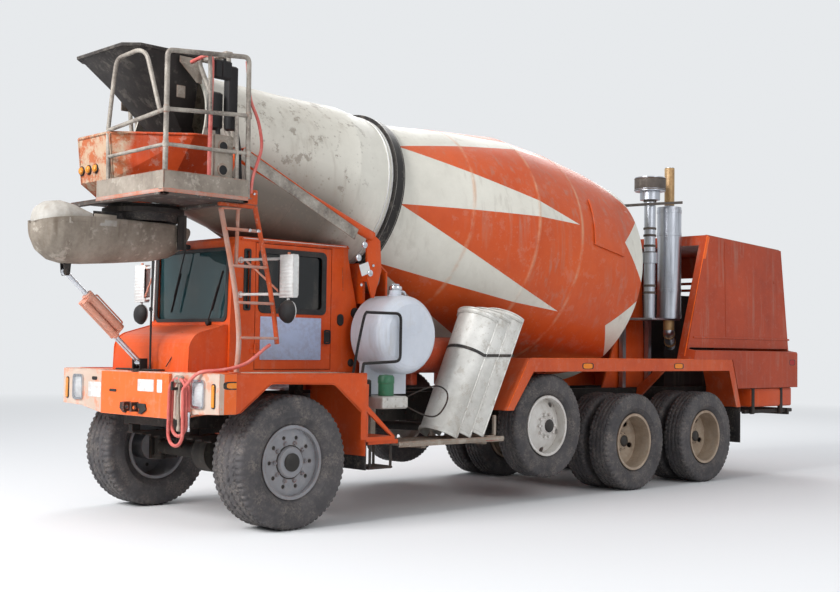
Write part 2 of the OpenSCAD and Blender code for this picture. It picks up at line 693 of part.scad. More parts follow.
// Closed solid through rings of equal length
module lofted(rings) {
  n = len(rings[0]);
  m = len(rings);
  points = [for (r = rings) each r];
  sides = [for (j = [0:m - 2], i = [0:n - 1]) let (a = j * n + i, b = j * n + (i + 1) % n)
    each [[a, b + n, b], [a, a + n, b + n]]];
  polyhedron(points, concat([[for (i = [0:n - 1]) i]], sides, [[for (i = [n - 1:-1:0]) (m - 1) * n + i]]));
}
hopper_wall = 10;
hopper_half = 700;
hopper_front = 1000;
hopper_rings = [[3130, 390, 630, 210, 50, 40], [3330, 500, 860, 250, 60, 50],
  [hopper_top, 420, hopper_front, hopper_half, 60, 60]];
module charge_hopper() {
  w = hopper_wall;
  last = len(hopper_rings) - 1;
  rim_w = 40;
  rim_z = hopper_top - rim_w;
  rim_back = 110;
  post_y = hopper_half + 12;
  post_d = 44;
  color(dark_steel) difference() {
    lofted([for (r = hopper_rings) hopper_ring(r[0], r[1], r[2], r[3], r[4], r[5])]);
    lofted([for (i = [0:last]) let (r = hopper_rings[i])
      hopper_ring(r[0] + (i == 0 ? -1 : i == last ? 1 : 0), r[1] + w, r[2] - w, r[3] - w, r[4], r[5])]);
  }
  // Rim frame over the drum's mouth, and the posts that carry it
  color(grey_steel) both_sides() {
    box(rim_back, hopper_front + 20, hopper_half - 8, hopper_half + rim_w - 8, rim_z, hopper_top);
    box(rim_back, rim_back + rim_w, -1, hopper_half, rim_z, hopper_top);
    bar([hopper_front, post_y, platform_z + floor_t + seat], [hopper_front, post_y, rim_z + 10], post_d);
    bar(brace_head + [15, 4, 46], [brace_head.x, post_y, rim_z + 10], post_d);
  }
}
// Collector under the drum's mouth, open at the top and over the chute
collector_rings = [[0, 480, 960, 300, 80, 80], [160, 400, 1160, 500, 400, 250], [530, 330, 1200, 690, 520, 440]];
module discharge_funnel() {
  floor_z = platform_z + floor_t + seat;
  w = 8;
  last = len(collector_rings) - 1;
  color(orange) difference() {
    lofted([for (r = collector_rings) hopper_ring(floor_z + r[0], r[1], r[2], r[3], r[4], r[5])]);
    lofted([for (i = [0:last]) let (r = collector_rings[i])
      hopper_ring(floor_z + r[0] + (i == 0 ? -1 : i == last ? 1 : 0), r[1] + w, r[2] - w, r[3] - w, r[4], r[5])]);
    // Notch that lets the drum's mouth in at the back
    on_drum_axis() translate([0, 0, drum_len - 1065]) cylinder(r = mouth_r + 60, h = 1090, $fn = 64);
  }
}

// Platform with toe boards and guard rails

platform_back = 440;
platform_right = 760;
under_frame = 30;
module platform() {
  z = platform_z;
  back = platform_back;
  toe_h = 150;
  // Rails stand this far in from the edge: top, middle and low one
  inset = 25;
  x = platform_front - inset;
  y = platform_left - inset;
  rear_x = back + 20;
  right_y = 130;
  floor_z = z + floor_t;
  top = z + guard_h;
  mid = z + 560;
  low = z + 320;
  color(grey_steel) {
    difference() {
      box(back, platform_front, -platform_right, platform_left, z, floor_z);
      box(slew_x - 225, slew_x + 225, -280, 280, z - 1, floor_z + 1);
    }
    // Toe boards
    box(platform_front - sheet, platform_front, 100, platform_left, z, z + toe_h);
    box(back, platform_front, platform_left - sheet, platform_left, z, z + toe_h);
    // Frame under the floor
    box(platform_front - 60, platform_front, -platform_right, platform_left, z - under_frame, z);
    both_sides() box(back, back + 60, 380, platform_right, z - under_frame, z);
    box(back, back + 60, platform_right, platform_left, z - under_frame, z);
    // Guard rails
    rail([[x, y, floor_z], [x, y, top], [rear_x, y, top], [rear_x, y, floor_z]], 42);
    rail([[x, right_y, floor_z], [x, right_y, mid], [x, y, mid], [rear_x, y, mid]], 38);
    rail([[x, right_y, low], [x, y, low], [rear_x, y, low]], 32);
    rail([[x, 190, mid], [x, 260, top - 60], [x, 330, top], [x, 780, top], [x, 880, mid]], 38);
    rail([[back + 280, y, floor_z], [back + 280, y, top]], 38);
  }
}

// Ladder on the left side, wider at its foot

ladder_d = 40;
module ladder() {
  y = 1025;
  rung_d = 34;
  // The heads' balls seat under the platform's frame
  top_z = platform_z - under_frame - seat - (ladder_d + 3) / 2;
  front_x = 430;
  rear_x = 110;
  front_foot_z = 1560;
  rear_foot_z = 1500;
  head_x = [555, 480];
  color(orange) {
    rail([[head_x[0], y, top_z], [front_x, y, front_foot_z], [front_x, y, deck_top + 24]], ladder_d);
    rail([[head_x[1], y, top_z], [rear_x, y, rear_foot_z]], ladder_d);
    for (z = [2390, 2110, 1830, front_foot_z])
      let (a = (z - front_foot_z) / (top_z - front_foot_z), b = (z - rear_foot_z) / (top_z - rear_foot_z))
        bar([front_x + (head_x[0] - front_x) * a, y, z], [rear_x + (head_x[1] - rear_x) * b, y, z], rung_d);
    // Foot, and the bolt plate under the platform that holds the front stile
    translate([front_x, y, deck_top]) cylinder(d = 90, h = 30);
    box(head_x[1] + 40, head_x[0] + 30, y - 20, y + 20, top_z, platform_z - seat);
    // Water outlet that the hose starts from
    bar([rear_x, y, rear_foot_z], hose_start + [-16, -7, 8], 44);
  }
}

// Tanks on both sides behind the cab

tank_x = -1360;
tank_z = 1600;
tank_r = 355;
neck_d = 110;
neck_h = 42;
module side_tanks() {
  tank_in = 700;
  tank_out = 1140;
  round_r = 120;
  neck_y = 900;
  collar_d = 140;
  saddle_half = 260;
  saddle_t = 20;
  color(white_paint) both_sides() {
    translate([tank_x, 0, tank_z]) rotate([-90, 0, 0]) rotate_extrude($fn = 72) polygon(concat(
      [[0, tank_in], [tank_r, tank_in]], arc(tank_r - round_r, tank_out - 130, round_r, 0, 70, 5), [[0, tank_out]]));
    // Filler neck on its collar
    translate([tank_x, neck_y, tank_z + tank_r - 20]) {
      cylinder(d = collar_d, h = 28);
      cylinder(d = neck_d, h = 28 + neck_h);
    }
    // Saddle, its plate, and the feet on the frame rail each side of the pedestal's column
    difference() {
      box(tank_x - saddle_half, tank_x + saddle_half, 720, 780, rail_top, tank_z - 200);
      translate([tank_x, 700, tank_z]) rotate([-90, 0, 0]) cylinder(r = tank_r - 1, h = 100);
    }
    box(tank_x - saddle_half, tank_x + saddle_half, rail_out + 30, 780, rail_top, rail_top + saddle_t);
    box(tank_x - saddle_half, col_back - 12, rail_out - 70, rail_out + 31, rail_top, rail_top + saddle_t);
    box(col_front + 12, tank_x + saddle_half, rail_out - 70, rail_out + 31, rail_top, rail_top + saddle_t);
  }
}

// Guards over the rear wheels, with turned-down ends

guard_in = 800;
guard_top = 1400;
guard_end = [-6690, 840];
module rear_guards() {
  top = guard_top;
  skirt_h = 130;
  front_x = -2860;
  back_x = -6500;
  nose = [-2540, 900];
  path_out = [nose, [front_x, top], [back_x, top], guard_end];
  path_in = [guard_end + [90, 0], [back_x + 60, top - skirt_h], [front_x - 60, top - skirt_h], nose - [90, 0]];
  top_in = [guard_end + [sheet, 0], [back_x + sheet, top - sheet], [front_x - sheet, top - sheet],
    nose - [sheet, 0]];
  color(orange) both_sides() {
    across(concat(path_out, path_in), half_w - sheet, half_w);
    across(concat(path_out, top_in), guard_in, half_w - sheet + 1);
    // Brackets out from the frame
    for (x = [-3600, -5700])
      along([[rail_out, rail_top - 160], [rail_out + 20, rail_top], [guard_in + 40, top - sheet],
        [1150, top - sheet], [1150, top - sheet - 50], [guard_in + 100, top - sheet - 60]], x - 20, x + 20);
  }
}

// Side steps between the front deck and the rear wheels

step_top = 655;
step_t = 25;
module side_steps() {
  bracket = 40;
  color(grey_steel) both_sides() {
    box(-2500, -1140, 760, half_w, step_top - step_t, step_top);
    // Brackets out from the frame rail
    for (x = [-2300, -1500]) {
      box(x - 30, x + 30, rail_out, 1150, step_top - step_t - bracket, step_top - step_t);
      box(x - 30, x + 30, rail_out, rail_out + bracket, step_top - step_t - bracket, rail_low + 120);
    }
  }
}

// Three spare chutes, half round, nested and leaning back on the left step

spare_r = 215;
spare_len = 1244;
spare_cut = 30;
spare_lean = 26;
module spare_chute() {
  r = spare_r;
  wall = 6;
  bead_t = 12;
  difference() {
    union() {
      cylinder(r1 = r - 20, r2 = r, h = spare_len, $fn = 72);
      translate([0, 0, spare_len - 40]) cylinder(r = r + bead_t, h = 40, $fn = 72);
      cylinder(r = r - 8, h = 30, $fn = 72);
    }
    translate([0, 0, -1]) cylinder(r1 = r - 20 - wall, r2 = r - wall, h = spare_len + 2, $fn = 72);
    translate([-r * 2 - spare_cut, -r * 1.5, -1]) cube([r * 2, r * 3, spare_len + 2]);
  }
}
module extension_chutes() {
  first = [-1862, 985];
  pitch = 175;
  // The cut edges' lower corners stand on the step
  foot_z = step_top + seat + spare_cut * sin(spare_lean);
  color(grey_steel) for (i = [0:2])
    translate([first.x - pitch * i, first.y, foot_z]) rotate([0, -spare_lean, 0]) spare_chute();
}

// Mudflaps behind the front and rear wheels

module mudflaps() {
  t = 14;
  edge = half_w - 12;
  front_x = -750 - seat;
  rear_x = guard_end.x - seat;
  color(rubber) both_sides() {
    box(front_x - t, front_x, half_w - 420, edge, 440, 672);
    box(rear_x - t, rear_x, 620, edge, 420, guard_end.y + 15);
  }
}

// Mirrors on arms, one each side

module mirrors() {
  middle = [35, 1120, 2055];
  half = [25, 90, 175];
  round_d = 170;
  round_z = 1770;
  arm_d = 24;
  // Arms in from the housing to round feet on the cab's front pillar
  foot_x = 155;
  foot_y = cab_half_w + seat;
  color(grey_steel) both_sides() {
    box(middle.x - half.x, middle.x + half.x, middle.y - half.y, middle.y + half.y,
      middle.z - half.z, middle.z + half.z);
    translate([middle.x, middle.y, round_z]) rotate([0, 90, 0]) cylinder(d = round_d, h = 40, center = true);
    bar([middle.x, middle.y, round_z + 10], [middle.x, middle.y, middle.z - half.z + 20], arm_d);
    for (z = [middle.z - half.z + 30, middle.z + half.z - 30]) {
      rail([[middle.x, middle.y - half.y + 10, z], [foot_x, foot_y + 60, z]], arm_d);
      bar([foot_x, foot_y, z], [foot_x, foot_y + 60, z], arm_d);
      bar([foot_x, foot_y, z], [foot_x, foot_y + 10, z], 54);
    }
  }
}

// Engine hood: hollow, open to the front and below, with a slatted back

// Height of the fold where the wide skirt ends and the narrower sides begin
hood_fold = 1500;
// Feet of the open front: over the guard, where it leaves the guard, and at the frame's top
hood_front = -5700;
hood_leave = [-6517, -6632];
module hood_form(in) {
  r = hood_roof_half - in;
  low = rail_top - in;
  top = guard_top + seat - in;
  back = -tail_back + in;
  wide = half_w - in;
  side = [[hood_front - in, top], [hood_front - 480 - in, hood_top - in], [back + 170, hood_top - 80 - in],
    [back + 20, hood_fold], [back, hood_fold - 20], [back, low], [hood_leave[1] + in / 3, low],
    [hood_leave[0] + in / 3, top]];
  section = [[wide, low - in - 1], [wide, hood_fold], [r + 25, hood_fold + 20 + in], [r, hood_top + 1]];
  intersection() {
    across(side, -wide, wide);
    along(concat(section, [for (i = [3:-1:0]) [-section[i].x, section[i].y]]), -tail_back - 1, hood_front + 700);
  }
}
module engine_hood() {
  slat_pitch = 90;
  slat_gap = 55;
  opening = hood_roof_half - 90;
  color(orange) difference() {
    hood_form(0);
    hood_form(hood_wall);
    // Open front
    box(hood_front - 700, hood_front + 700, -opening, opening, guard_top, hood_top - 120);
    // Radiator slats in the back wall
    for (z = [hood_fold + 200:slat_pitch:hood_top - 360])
      box(-tail_back - 1, -tail_back + 300, -800, 800, z, z + slat_gap);
  }
}
module engine_block() {
  engine_back = -tail_back + 630;
  color(dark_steel) box(engine_back, engine_back + 1100, -400, 400, rail_top, rail_top + 1120);
}

// Exhaust: upright silencer, elbow below and a cut pipe above

stack_x = -drum_back - 450;
intake_x = -drum_back - 60;
stack_y = 740;
stack_d = 110;
stack_h = 470;
silencer_low = 1870;
silencer_h = 1310;
module exhaust() {
  x = stack_x;
  y = stack_y;
  bend_d = 120;
  bend_z = silencer_low - 150;
  top = silencer_low + silencer_h;
  // Stand: a shelf under the silencer and the intake, on two posts from the frame rail
  shelf_t = 20;
  post_w = 58;
  color(chrome) {
    translate([x, y, silencer_low]) cylinder(d = silencer_d, h = silencer_h);
    translate([x, y, top]) cylinder(d = stack_d, h = stack_h);
    translate([x, y, bend_z - 20]) cylinder(d = bend_d, h = silencer_low - bend_z + 21);
    bar([x, y, bend_z], [x - 330, y - 200, bend_z - 160], bend_d);
    translate([x, y, bend_z]) sphere(d = bend_d + 6);
  }
  color(dark_steel) {
    box(x - 90, intake_x + 80, rail_out - post_w, y + 90, silencer_low - shelf_t, silencer_low);
    for (px = [x - 90, intake_x + 80 - post_w])
      box(px, px + post_w, rail_out - post_w, rail_out, rail_top, silencer_low);
  }
}
module air_intake() {
  cap_z = 3330;
  cap_h = 160;
  pipe_d = 130;
  foot_z = silencer_low + seat;
  color(grey_steel) translate([intake_x, stack_y, 0]) {
    translate([0, 0, cap_z]) cylinder(d = 350, h = cap_h);
    translate([0, 0, cap_z - 100]) cylinder(d = 230, h = 101);
    translate([0, 0, foot_z]) cylinder(d = pipe_d, h = cap_z - 100 - foot_z + 1);
    translate([0, 0, 2500]) cylinder(d = 180, h = 120);
  }
}

// Chutes. The main trough and the folded one meet face to face along their axis.

trough_back = 330;
function trough_r(x) = chute_r - (chute_tip - chute_r - x) * 0.09;
module trough(x0, x1, r0, r1) {
  difference() {
    translate([x0, 0, chute_z]) rotate([0, 90, 0]) cylinder(r1 = r0, r2 = r1, h = x1 - x0, $fn = 96);
    translate([x0 - 1, 0, chute_z]) rotate([0, 90, 0])
      cylinder(r1 = r0 - chute_wall, r2 = r1 - chute_wall, h = x1 - x0 + 2, $fn = 96);
  }
}
module round_end(x_back) {
  c = chute_tip - chute_r;
  intersection() {
    children();
    union() {
      box(x_back - 1, c, -400, 400, chute_z - 400, chute_z + 400);
      translate([c, 400, chute_z]) rotate([90, 0, 0]) cylinder(r = chute_r, h = 800, $fn = 96);
    }
  }
}
eye = [1420, 0, 2055];
module main_chute() {
  color(cream) {
    difference() {
      round_end(trough_back) trough(trough_back, chute_tip, 185, chute_r);
      box(trough_back - 2, chute_tip + 2, -400, 400, chute_z - seat, chute_z + 400);
    }
    // Lug for the lift cylinder
    difference() {
      along([[-34, 2000], [34, 2000], [34, chute_z - 225], [-34, chute_z - 225]], eye.x - 45, eye.x + 45);
      box(eye.x - 50, eye.x + 50, -22, 22, 1990, eye.z + 40);
    }
    // Pivot ears
    both_sides() translate([lift_x, 178, chute_z - 40]) rotate([-90, 0, 0]) cylinder(d = 90, h = 26);
  }
}
module fold_chute() {
  back = 960;
  color(cream) difference() {
    round_end(back) trough(back, chute_tip, 130, chute_r);
    box(back - 2, chute_tip + 2, -400, 400, chute_z - 400, chute_z + seat);
  }
}
// Turning yoke under the collector, with two arms down to the chute's pivot
module chute_swivel() {
  // The wide ring lies low, because the drum's neck passes over its back
  ring_t = 40;
  ring_low = platform_z - 75;
  color(dark_steel) {
    difference() {
      union() {
        translate([slew_x, 0, ring_low]) cylinder(r = 340, h = ring_t);
        translate([slew_x, 0, ring_low]) cylinder(r = 290, h = platform_z - seat - ring_low);
      }
      translate([slew_x, 0, ring_low - 1]) cylinder(r = 240, h = 100);
    }
    both_sides() box(lift_x - 40, lift_x + 40, 212, 232, chute_z - 90, ring_low + 5);
    both_sides() bar([lift_x, 204 + seat, chute_z - 40], [lift_x, 213, chute_z - 40], 60);
  }
}

// Lift cylinder: two rods from the foot, a twin barrel and the upper rod to the chute

foot = [slew_x, 0, 1330];
rod_offset = 70;
span = eye - foot;
cyl_len = sqrt(norm(span) * norm(span) - rod_offset * rod_offset);
cyl_angle = atan2(span.z, span.x) - atan2(rod_offset, cyl_len);
barrel_start = 330;
barrel_len = 400;
module on_cylinder() {
  translate(foot) rotate([0, -cyl_angle, 0]) rotate([0, 90, 0]) children();
}
module cylinder_foot() {
  color(dark_steel) {
    translate([foot.x, 0, deck_top + seat]) cylinder(d = 150, h = 14);
    both_sides() box(foot.x - 35, foot.x + 35, 50, 64, deck_top + 14, foot.z + 35);
    bar([foot.x, -50, foot.z], [foot.x, 50, foot.z], 24);
  }
}
module cylinder_rods() {
  color(chrome) difference() {
    union() {
      translate(foot) rotate([90, 0, 0]) cylinder(d = 56, h = 96, center = true);
      on_cylinder() for (y = [-28, 28]) translate([0, y, 20]) cylinder(d = 26, h = barrel_start + 75);
    }
    bar([foot.x, -60, foot.z], [foot.x, 60, foot.z], 25);
  }
}
module cylinder_barrels() {
  end_t = 24;
  color(orange) on_cylinder() difference() {
    union() {
      for (y = [-28, 28]) translate([0, y, barrel_start]) cylinder(d = 46, h = barrel_len);
      translate([-rod_offset, 0, barrel_start]) cylinder(d = 92, h = barrel_len);
      for (z = [barrel_start, barrel_start + barrel_len - end_t])
        translate([-rod_offset, -45, z]) cube([rod_offset + 14, 90, end_t]);
    }
    for (y = [-28, 28]) translate([0, y, barrel_start - 1]) cylinder(d = 27, h = barrel_len - 20);
    translate([-rod_offset, 0, barrel_start + 20]) cylinder(d = 41, h = barrel_len);
  }
}
module cylinder_upper_rod() {
  rod_low = barrel_start + barrel_len - 150;
  color(chrome) {
    on_cylinder() translate([-rod_offset, 0, rod_low]) cylinder(d = 40, h = cyl_len - rod_low);
    translate(eye) rotate([90, 0, 0]) cylinder(d = 60, h = 36, center = true);
  }
}

// Water hose: clipped to the ladder's foot, laid over the bumper and hung in turns on a hook

hose_d = 28;
hose_hook_p = [bumper_x, 735, 1135.7];
hose_start = [162, 1052, 1492];
hose_path = [hose_start, [225, 1066, 1460], [300, 1078, 1412], [400, 1090, 1352], [500, 1086, 1316],
  [600, 1074, 1292], [690, 1050, 1281], [740, 1022, 1279], [775, 985, 1272], [801, 945, 1245],
  [812, 905, 1205], [815, 869, 1150.5]];
coil_h = 560;
coil_w = 250;
coil_top = 1232;
coil_t = 3 * hose_d;
module hose_hook() {
  peg_d = 24;
  peg_len = 110;
  color(dark_steel) translate(hose_hook_p) {
    rotate([0, 90, 0]) cylinder(d = peg_d, h = peg_len);
    translate([peg_len, 0, -peg_d / 2]) cylinder(d = peg_d, h = 70);
    rotate([0, 90, 0]) cylinder(d = 64, h = 5);
  }
}
module hose_run() {
  color([0.55, 0.12, 0.10]) rail(hose_path, hose_d);
}
// Outer shape of the hanging turns
module hose_coil() {
  r = coil_w / 2;
  color([0.55, 0.12, 0.10])
    translate([bumper_x + 12, hose_hook_p.y, coil_top]) rotate([90, 0, 90]) linear_extrude(coil_t) difference() {
      union() {
        translate([0, -r]) circle(r = r);
        translate([-r, -coil_h + r]) square([2 * r, coil_h - 2 * r]);
        translate([0, -coil_h + r]) circle(r = r);
      }
      translate([0, -r]) circle(r = r - coil_t);
      translate([-r + coil_t, -coil_h + r]) square([2 * (r - coil_t), coil_h - 2 * r]);
      translate([0, -coil_h + r]) circle(r = r - coil_t);
    }
}

placed() chassis_frame();
placed() front_bumper();
placed() front_deck();
placed() front_axle();
placed() lift_axle();
placed() drive_axles();
placed() cab_shell();
placed() cab_glass();
placed() cab_fittings();
placed() door(1);  // door_left
placed() door(-1);  // door_right
placed() door_glass(1);  // door_glass_left
placed() door_glass(-1);  // door_glass_right
placed() front_pedestal();
placed() roller(1);  // roller_left
placed() roller(-1);  // roller_right
placed() rear_pedestal();
placed() drum_shell();
placed() charge_hopper();
placed() discharge_funnel();
placed() platform();
placed() ladder();
placed() side_tanks();
placed() rear_guards();
placed() side_steps();
placed() extension_chutes();
placed() mudflaps();
placed() mirrors();
placed() engine_hood();
placed() engine_block();
placed() exhaust();
placed() air_intake();
placed() chute_swivel();
placed() main_chute();
placed() fold_chute();
placed() cylinder_foot();
placed() cylinder_rods();
placed() cylinder_barrels();
placed() cylinder_upper_rod();
placed() knuckle(1);  // knuckle_left
placed() knuckle(-1);  // knuckle_right
placed() front_tyre(1);  // tyre_front_left
placed() front_tyre(-1);  // tyre_front_right
placed() front_rim(1);  // rim_front_left
placed() front_rim(-1);  // rim_front_right
placed() lift_tyre(1);  // tyre_lift_left
placed() lift_tyre(-1);  // tyre_lift_right
placed() lift_rim(1);  // rim_lift_left
placed() lift_rim(-1);  // rim_lift_right
placed() twin_tyres(-drive_axle_back, 1);  // tyres_drive1_left
placed() twin_tyres(-drive_axle_back, -1);  // tyres_drive1_right
placed() twin_rims(-drive_axle_back, 1);  // rims_drive1_left
placed() twin_rims(-drive_axle_back, -1);  // rims_drive1_right
placed() twin_tyres(-drive_axle2_back, 1);  // tyres_drive2_left
placed() twin_tyres(-drive_axle2_back, -1);  // tyres_drive2_right
placed() twin_rims(-drive_axle2_back, 1);  // rims_drive2_left
placed() twin_rims(-drive_axle2_back, -1);  // rims_drive2_right
placed() hose_hook();
placed() hose_run();
placed() hose_coil();
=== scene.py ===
"""Concrete mixer truck that discharges over its cab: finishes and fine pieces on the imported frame.

Lengths are metres from the middle of the front axle, X forwards, Y to the truck's left and Z up
from the ground. Each mesh is moved by AXLE_X into the frame's own place when it is made.
"""
from __future__ import annotations

import logging
import math
from dataclasses import dataclass
from enum import Enum
from typing import Callable, Sequence

import bpy
import numpy as np
from mathutils import Matrix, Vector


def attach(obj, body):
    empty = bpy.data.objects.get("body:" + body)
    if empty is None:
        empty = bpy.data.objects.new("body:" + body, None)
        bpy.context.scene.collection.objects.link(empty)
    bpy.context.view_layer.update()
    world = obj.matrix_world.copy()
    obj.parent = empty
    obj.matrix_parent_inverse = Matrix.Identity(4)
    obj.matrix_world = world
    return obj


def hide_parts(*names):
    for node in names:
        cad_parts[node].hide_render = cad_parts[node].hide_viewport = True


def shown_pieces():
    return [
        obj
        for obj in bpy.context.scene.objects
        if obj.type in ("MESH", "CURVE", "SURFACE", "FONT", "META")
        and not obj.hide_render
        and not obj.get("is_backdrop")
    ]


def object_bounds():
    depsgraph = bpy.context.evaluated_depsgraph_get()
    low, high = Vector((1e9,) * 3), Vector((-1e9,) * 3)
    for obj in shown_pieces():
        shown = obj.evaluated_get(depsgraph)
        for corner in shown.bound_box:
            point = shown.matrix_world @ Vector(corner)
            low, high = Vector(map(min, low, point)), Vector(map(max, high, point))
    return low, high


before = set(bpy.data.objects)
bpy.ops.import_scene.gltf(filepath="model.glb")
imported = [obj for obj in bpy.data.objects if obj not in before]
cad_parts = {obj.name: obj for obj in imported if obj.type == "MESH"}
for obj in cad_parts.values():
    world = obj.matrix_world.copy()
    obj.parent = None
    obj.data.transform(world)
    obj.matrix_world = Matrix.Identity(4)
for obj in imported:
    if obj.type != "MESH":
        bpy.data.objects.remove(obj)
CAD_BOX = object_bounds()

AXLE_X = 3.125
log = logging.getLogger("mixer")

Triple = tuple[float, float, float]
Colour = tuple[float, float, float, float]

EAST: Triple = (1.0, 0.0, 0.0)
NORTH: Triple = (0.0, 1.0, 0.0)
SKY: Triple = (0.0, 0.0, 1.0)
WEST: Triple = (-1.0, 0.0, 0.0)
SOUTH: Triple = (0.0, -1.0, 0.0)


def shade(red: int, green: int, blue: int) -> Colour:
    """Turns a screen colour of 0 to 255 into the linear colour that a shader takes.

    Args:
        red: Red as 0 to 255.
        green: Green as 0 to 255.
        blue: Blue as 0 to 255.

    Returns:
        The colour in linear light, with alpha.
    """
    parts = [v / 255 for v in (red, green, blue)]
    lin = [v / 12.92 if v <= 0.04045 else ((v + 0.055) / 1.055) ** 2.4 for v in parts]
    return (lin[0], lin[1], lin[2], 1.0)


# Curves and outlines


def flow(points: Sequence[Triple], per_span: int = 6) -> np.ndarray:
    """Draws a smooth path through points.

    Each span is the cubic whose slope at a point is half the step between its two neighbours.

    Args:
        points: The points that the path goes through.
        per_span: Steps between one point and the next.

    Returns:
        The path as (n, 3).
    """
    p = np.asarray(points, float)
    p = np.vstack([2 * p[0] - p[1], p, 2 * p[-1] - p[-2]])
    t = np.linspace(0, 1, per_span, endpoint=False)[None, :, None]
    a, b, c, d = (p[k: len(p) - 3 + k][:, None, :] for k in range(4))
    body = 0.5 * (2 * b + (c - a) * t + (2 * a - 5 * b + 4 * c - d) * t**2
                  + (3 * b - a - 3 * c + d) * t**3)
    return np.vstack([body.reshape(-1, 3), p[-2]])


def bent(points: Sequence[Triple], radius: float, steps: int = 5) -> np.ndarray:
    """Rounds the corners of a path of straight runs.

    A corner becomes the parabola between the points one radius before and one radius after it.

    Args:
        points: The corners of the path, its two ends included.
        radius: How far before and after a corner the bend reaches.
        steps: Points on each bend.

    Returns:
        The path as (n, 3).
    """
    p = np.asarray(points, float)
    out = [p[:1]]
    t = np.linspace(0, 1, steps)[:, None]
    for before, here, after in zip(p[:-2], p[1:-1], p[2:]):
        into, away = here - before, after - here
        a = here - into / np.linalg.norm(into) * min(radius, np.linalg.norm(into) / 2.01)
        b = here + away / np.linalg.norm(away) * min(radius, np.linalg.norm(away) / 2.01)
        out.append((1 - t) ** 2 * a + 2 * t * (1 - t) * here + t**2 * b)
    out.append(p[-1:])
    return np.vstack(out)


def rounded(width: float, height: float, radius: float, steps: int = 4) -> np.ndarray:
    """Outline of a rectangle about zero with round corners: a quarter circle at each corner.

    Args:
        width: Size along the first direction.
        height: Size along the second.
        radius: Radius of the corners.
        steps: Steps of each corner.

    Returns:
        Points of the outline as (n, 2).
    """
    turn = np.linspace(0, math.pi / 2, steps)
    cx, cy = width / 2 - radius, height / 2 - radius
    corners = []
    for k, (sx, sy) in enumerate(((1, 1), (-1, 1), (-1, -1), (1, -1))):
        a = turn + k * math.pi / 2
        corners.append(np.stack([sx * cx + radius * np.cos(a), sy * cy + radius * np.sin(a)], -1))
    return np.concatenate(corners)


def circle(radius: float, sides: int = 24) -> np.ndarray:
    """Outline of a circle about zero, in even steps of angle."""
    a = np.arange(sides) * 2 * math.pi / sides
    return np.stack([radius * np.cos(a), radius * np.sin(a)], -1)


def unit(v: Sequence[float]) -> np.ndarray:
    """Vector of length one along v."""
    v = np.asarray(v, float)
    return v / np.linalg.norm(v)


def square_to(axis: Sequence[float]) -> tuple[np.ndarray, np.ndarray]:
    """Two unit vectors square to an axis and to each other, u x v = axis.

    Args:
        axis: The direction.

    Returns:
        Two directions square to it and to each other.
    """
    w = unit(axis)
    u = unit(np.cross(SKY if abs(w[2]) < 0.9 else EAST, w))
    return u, np.cross(w, u)


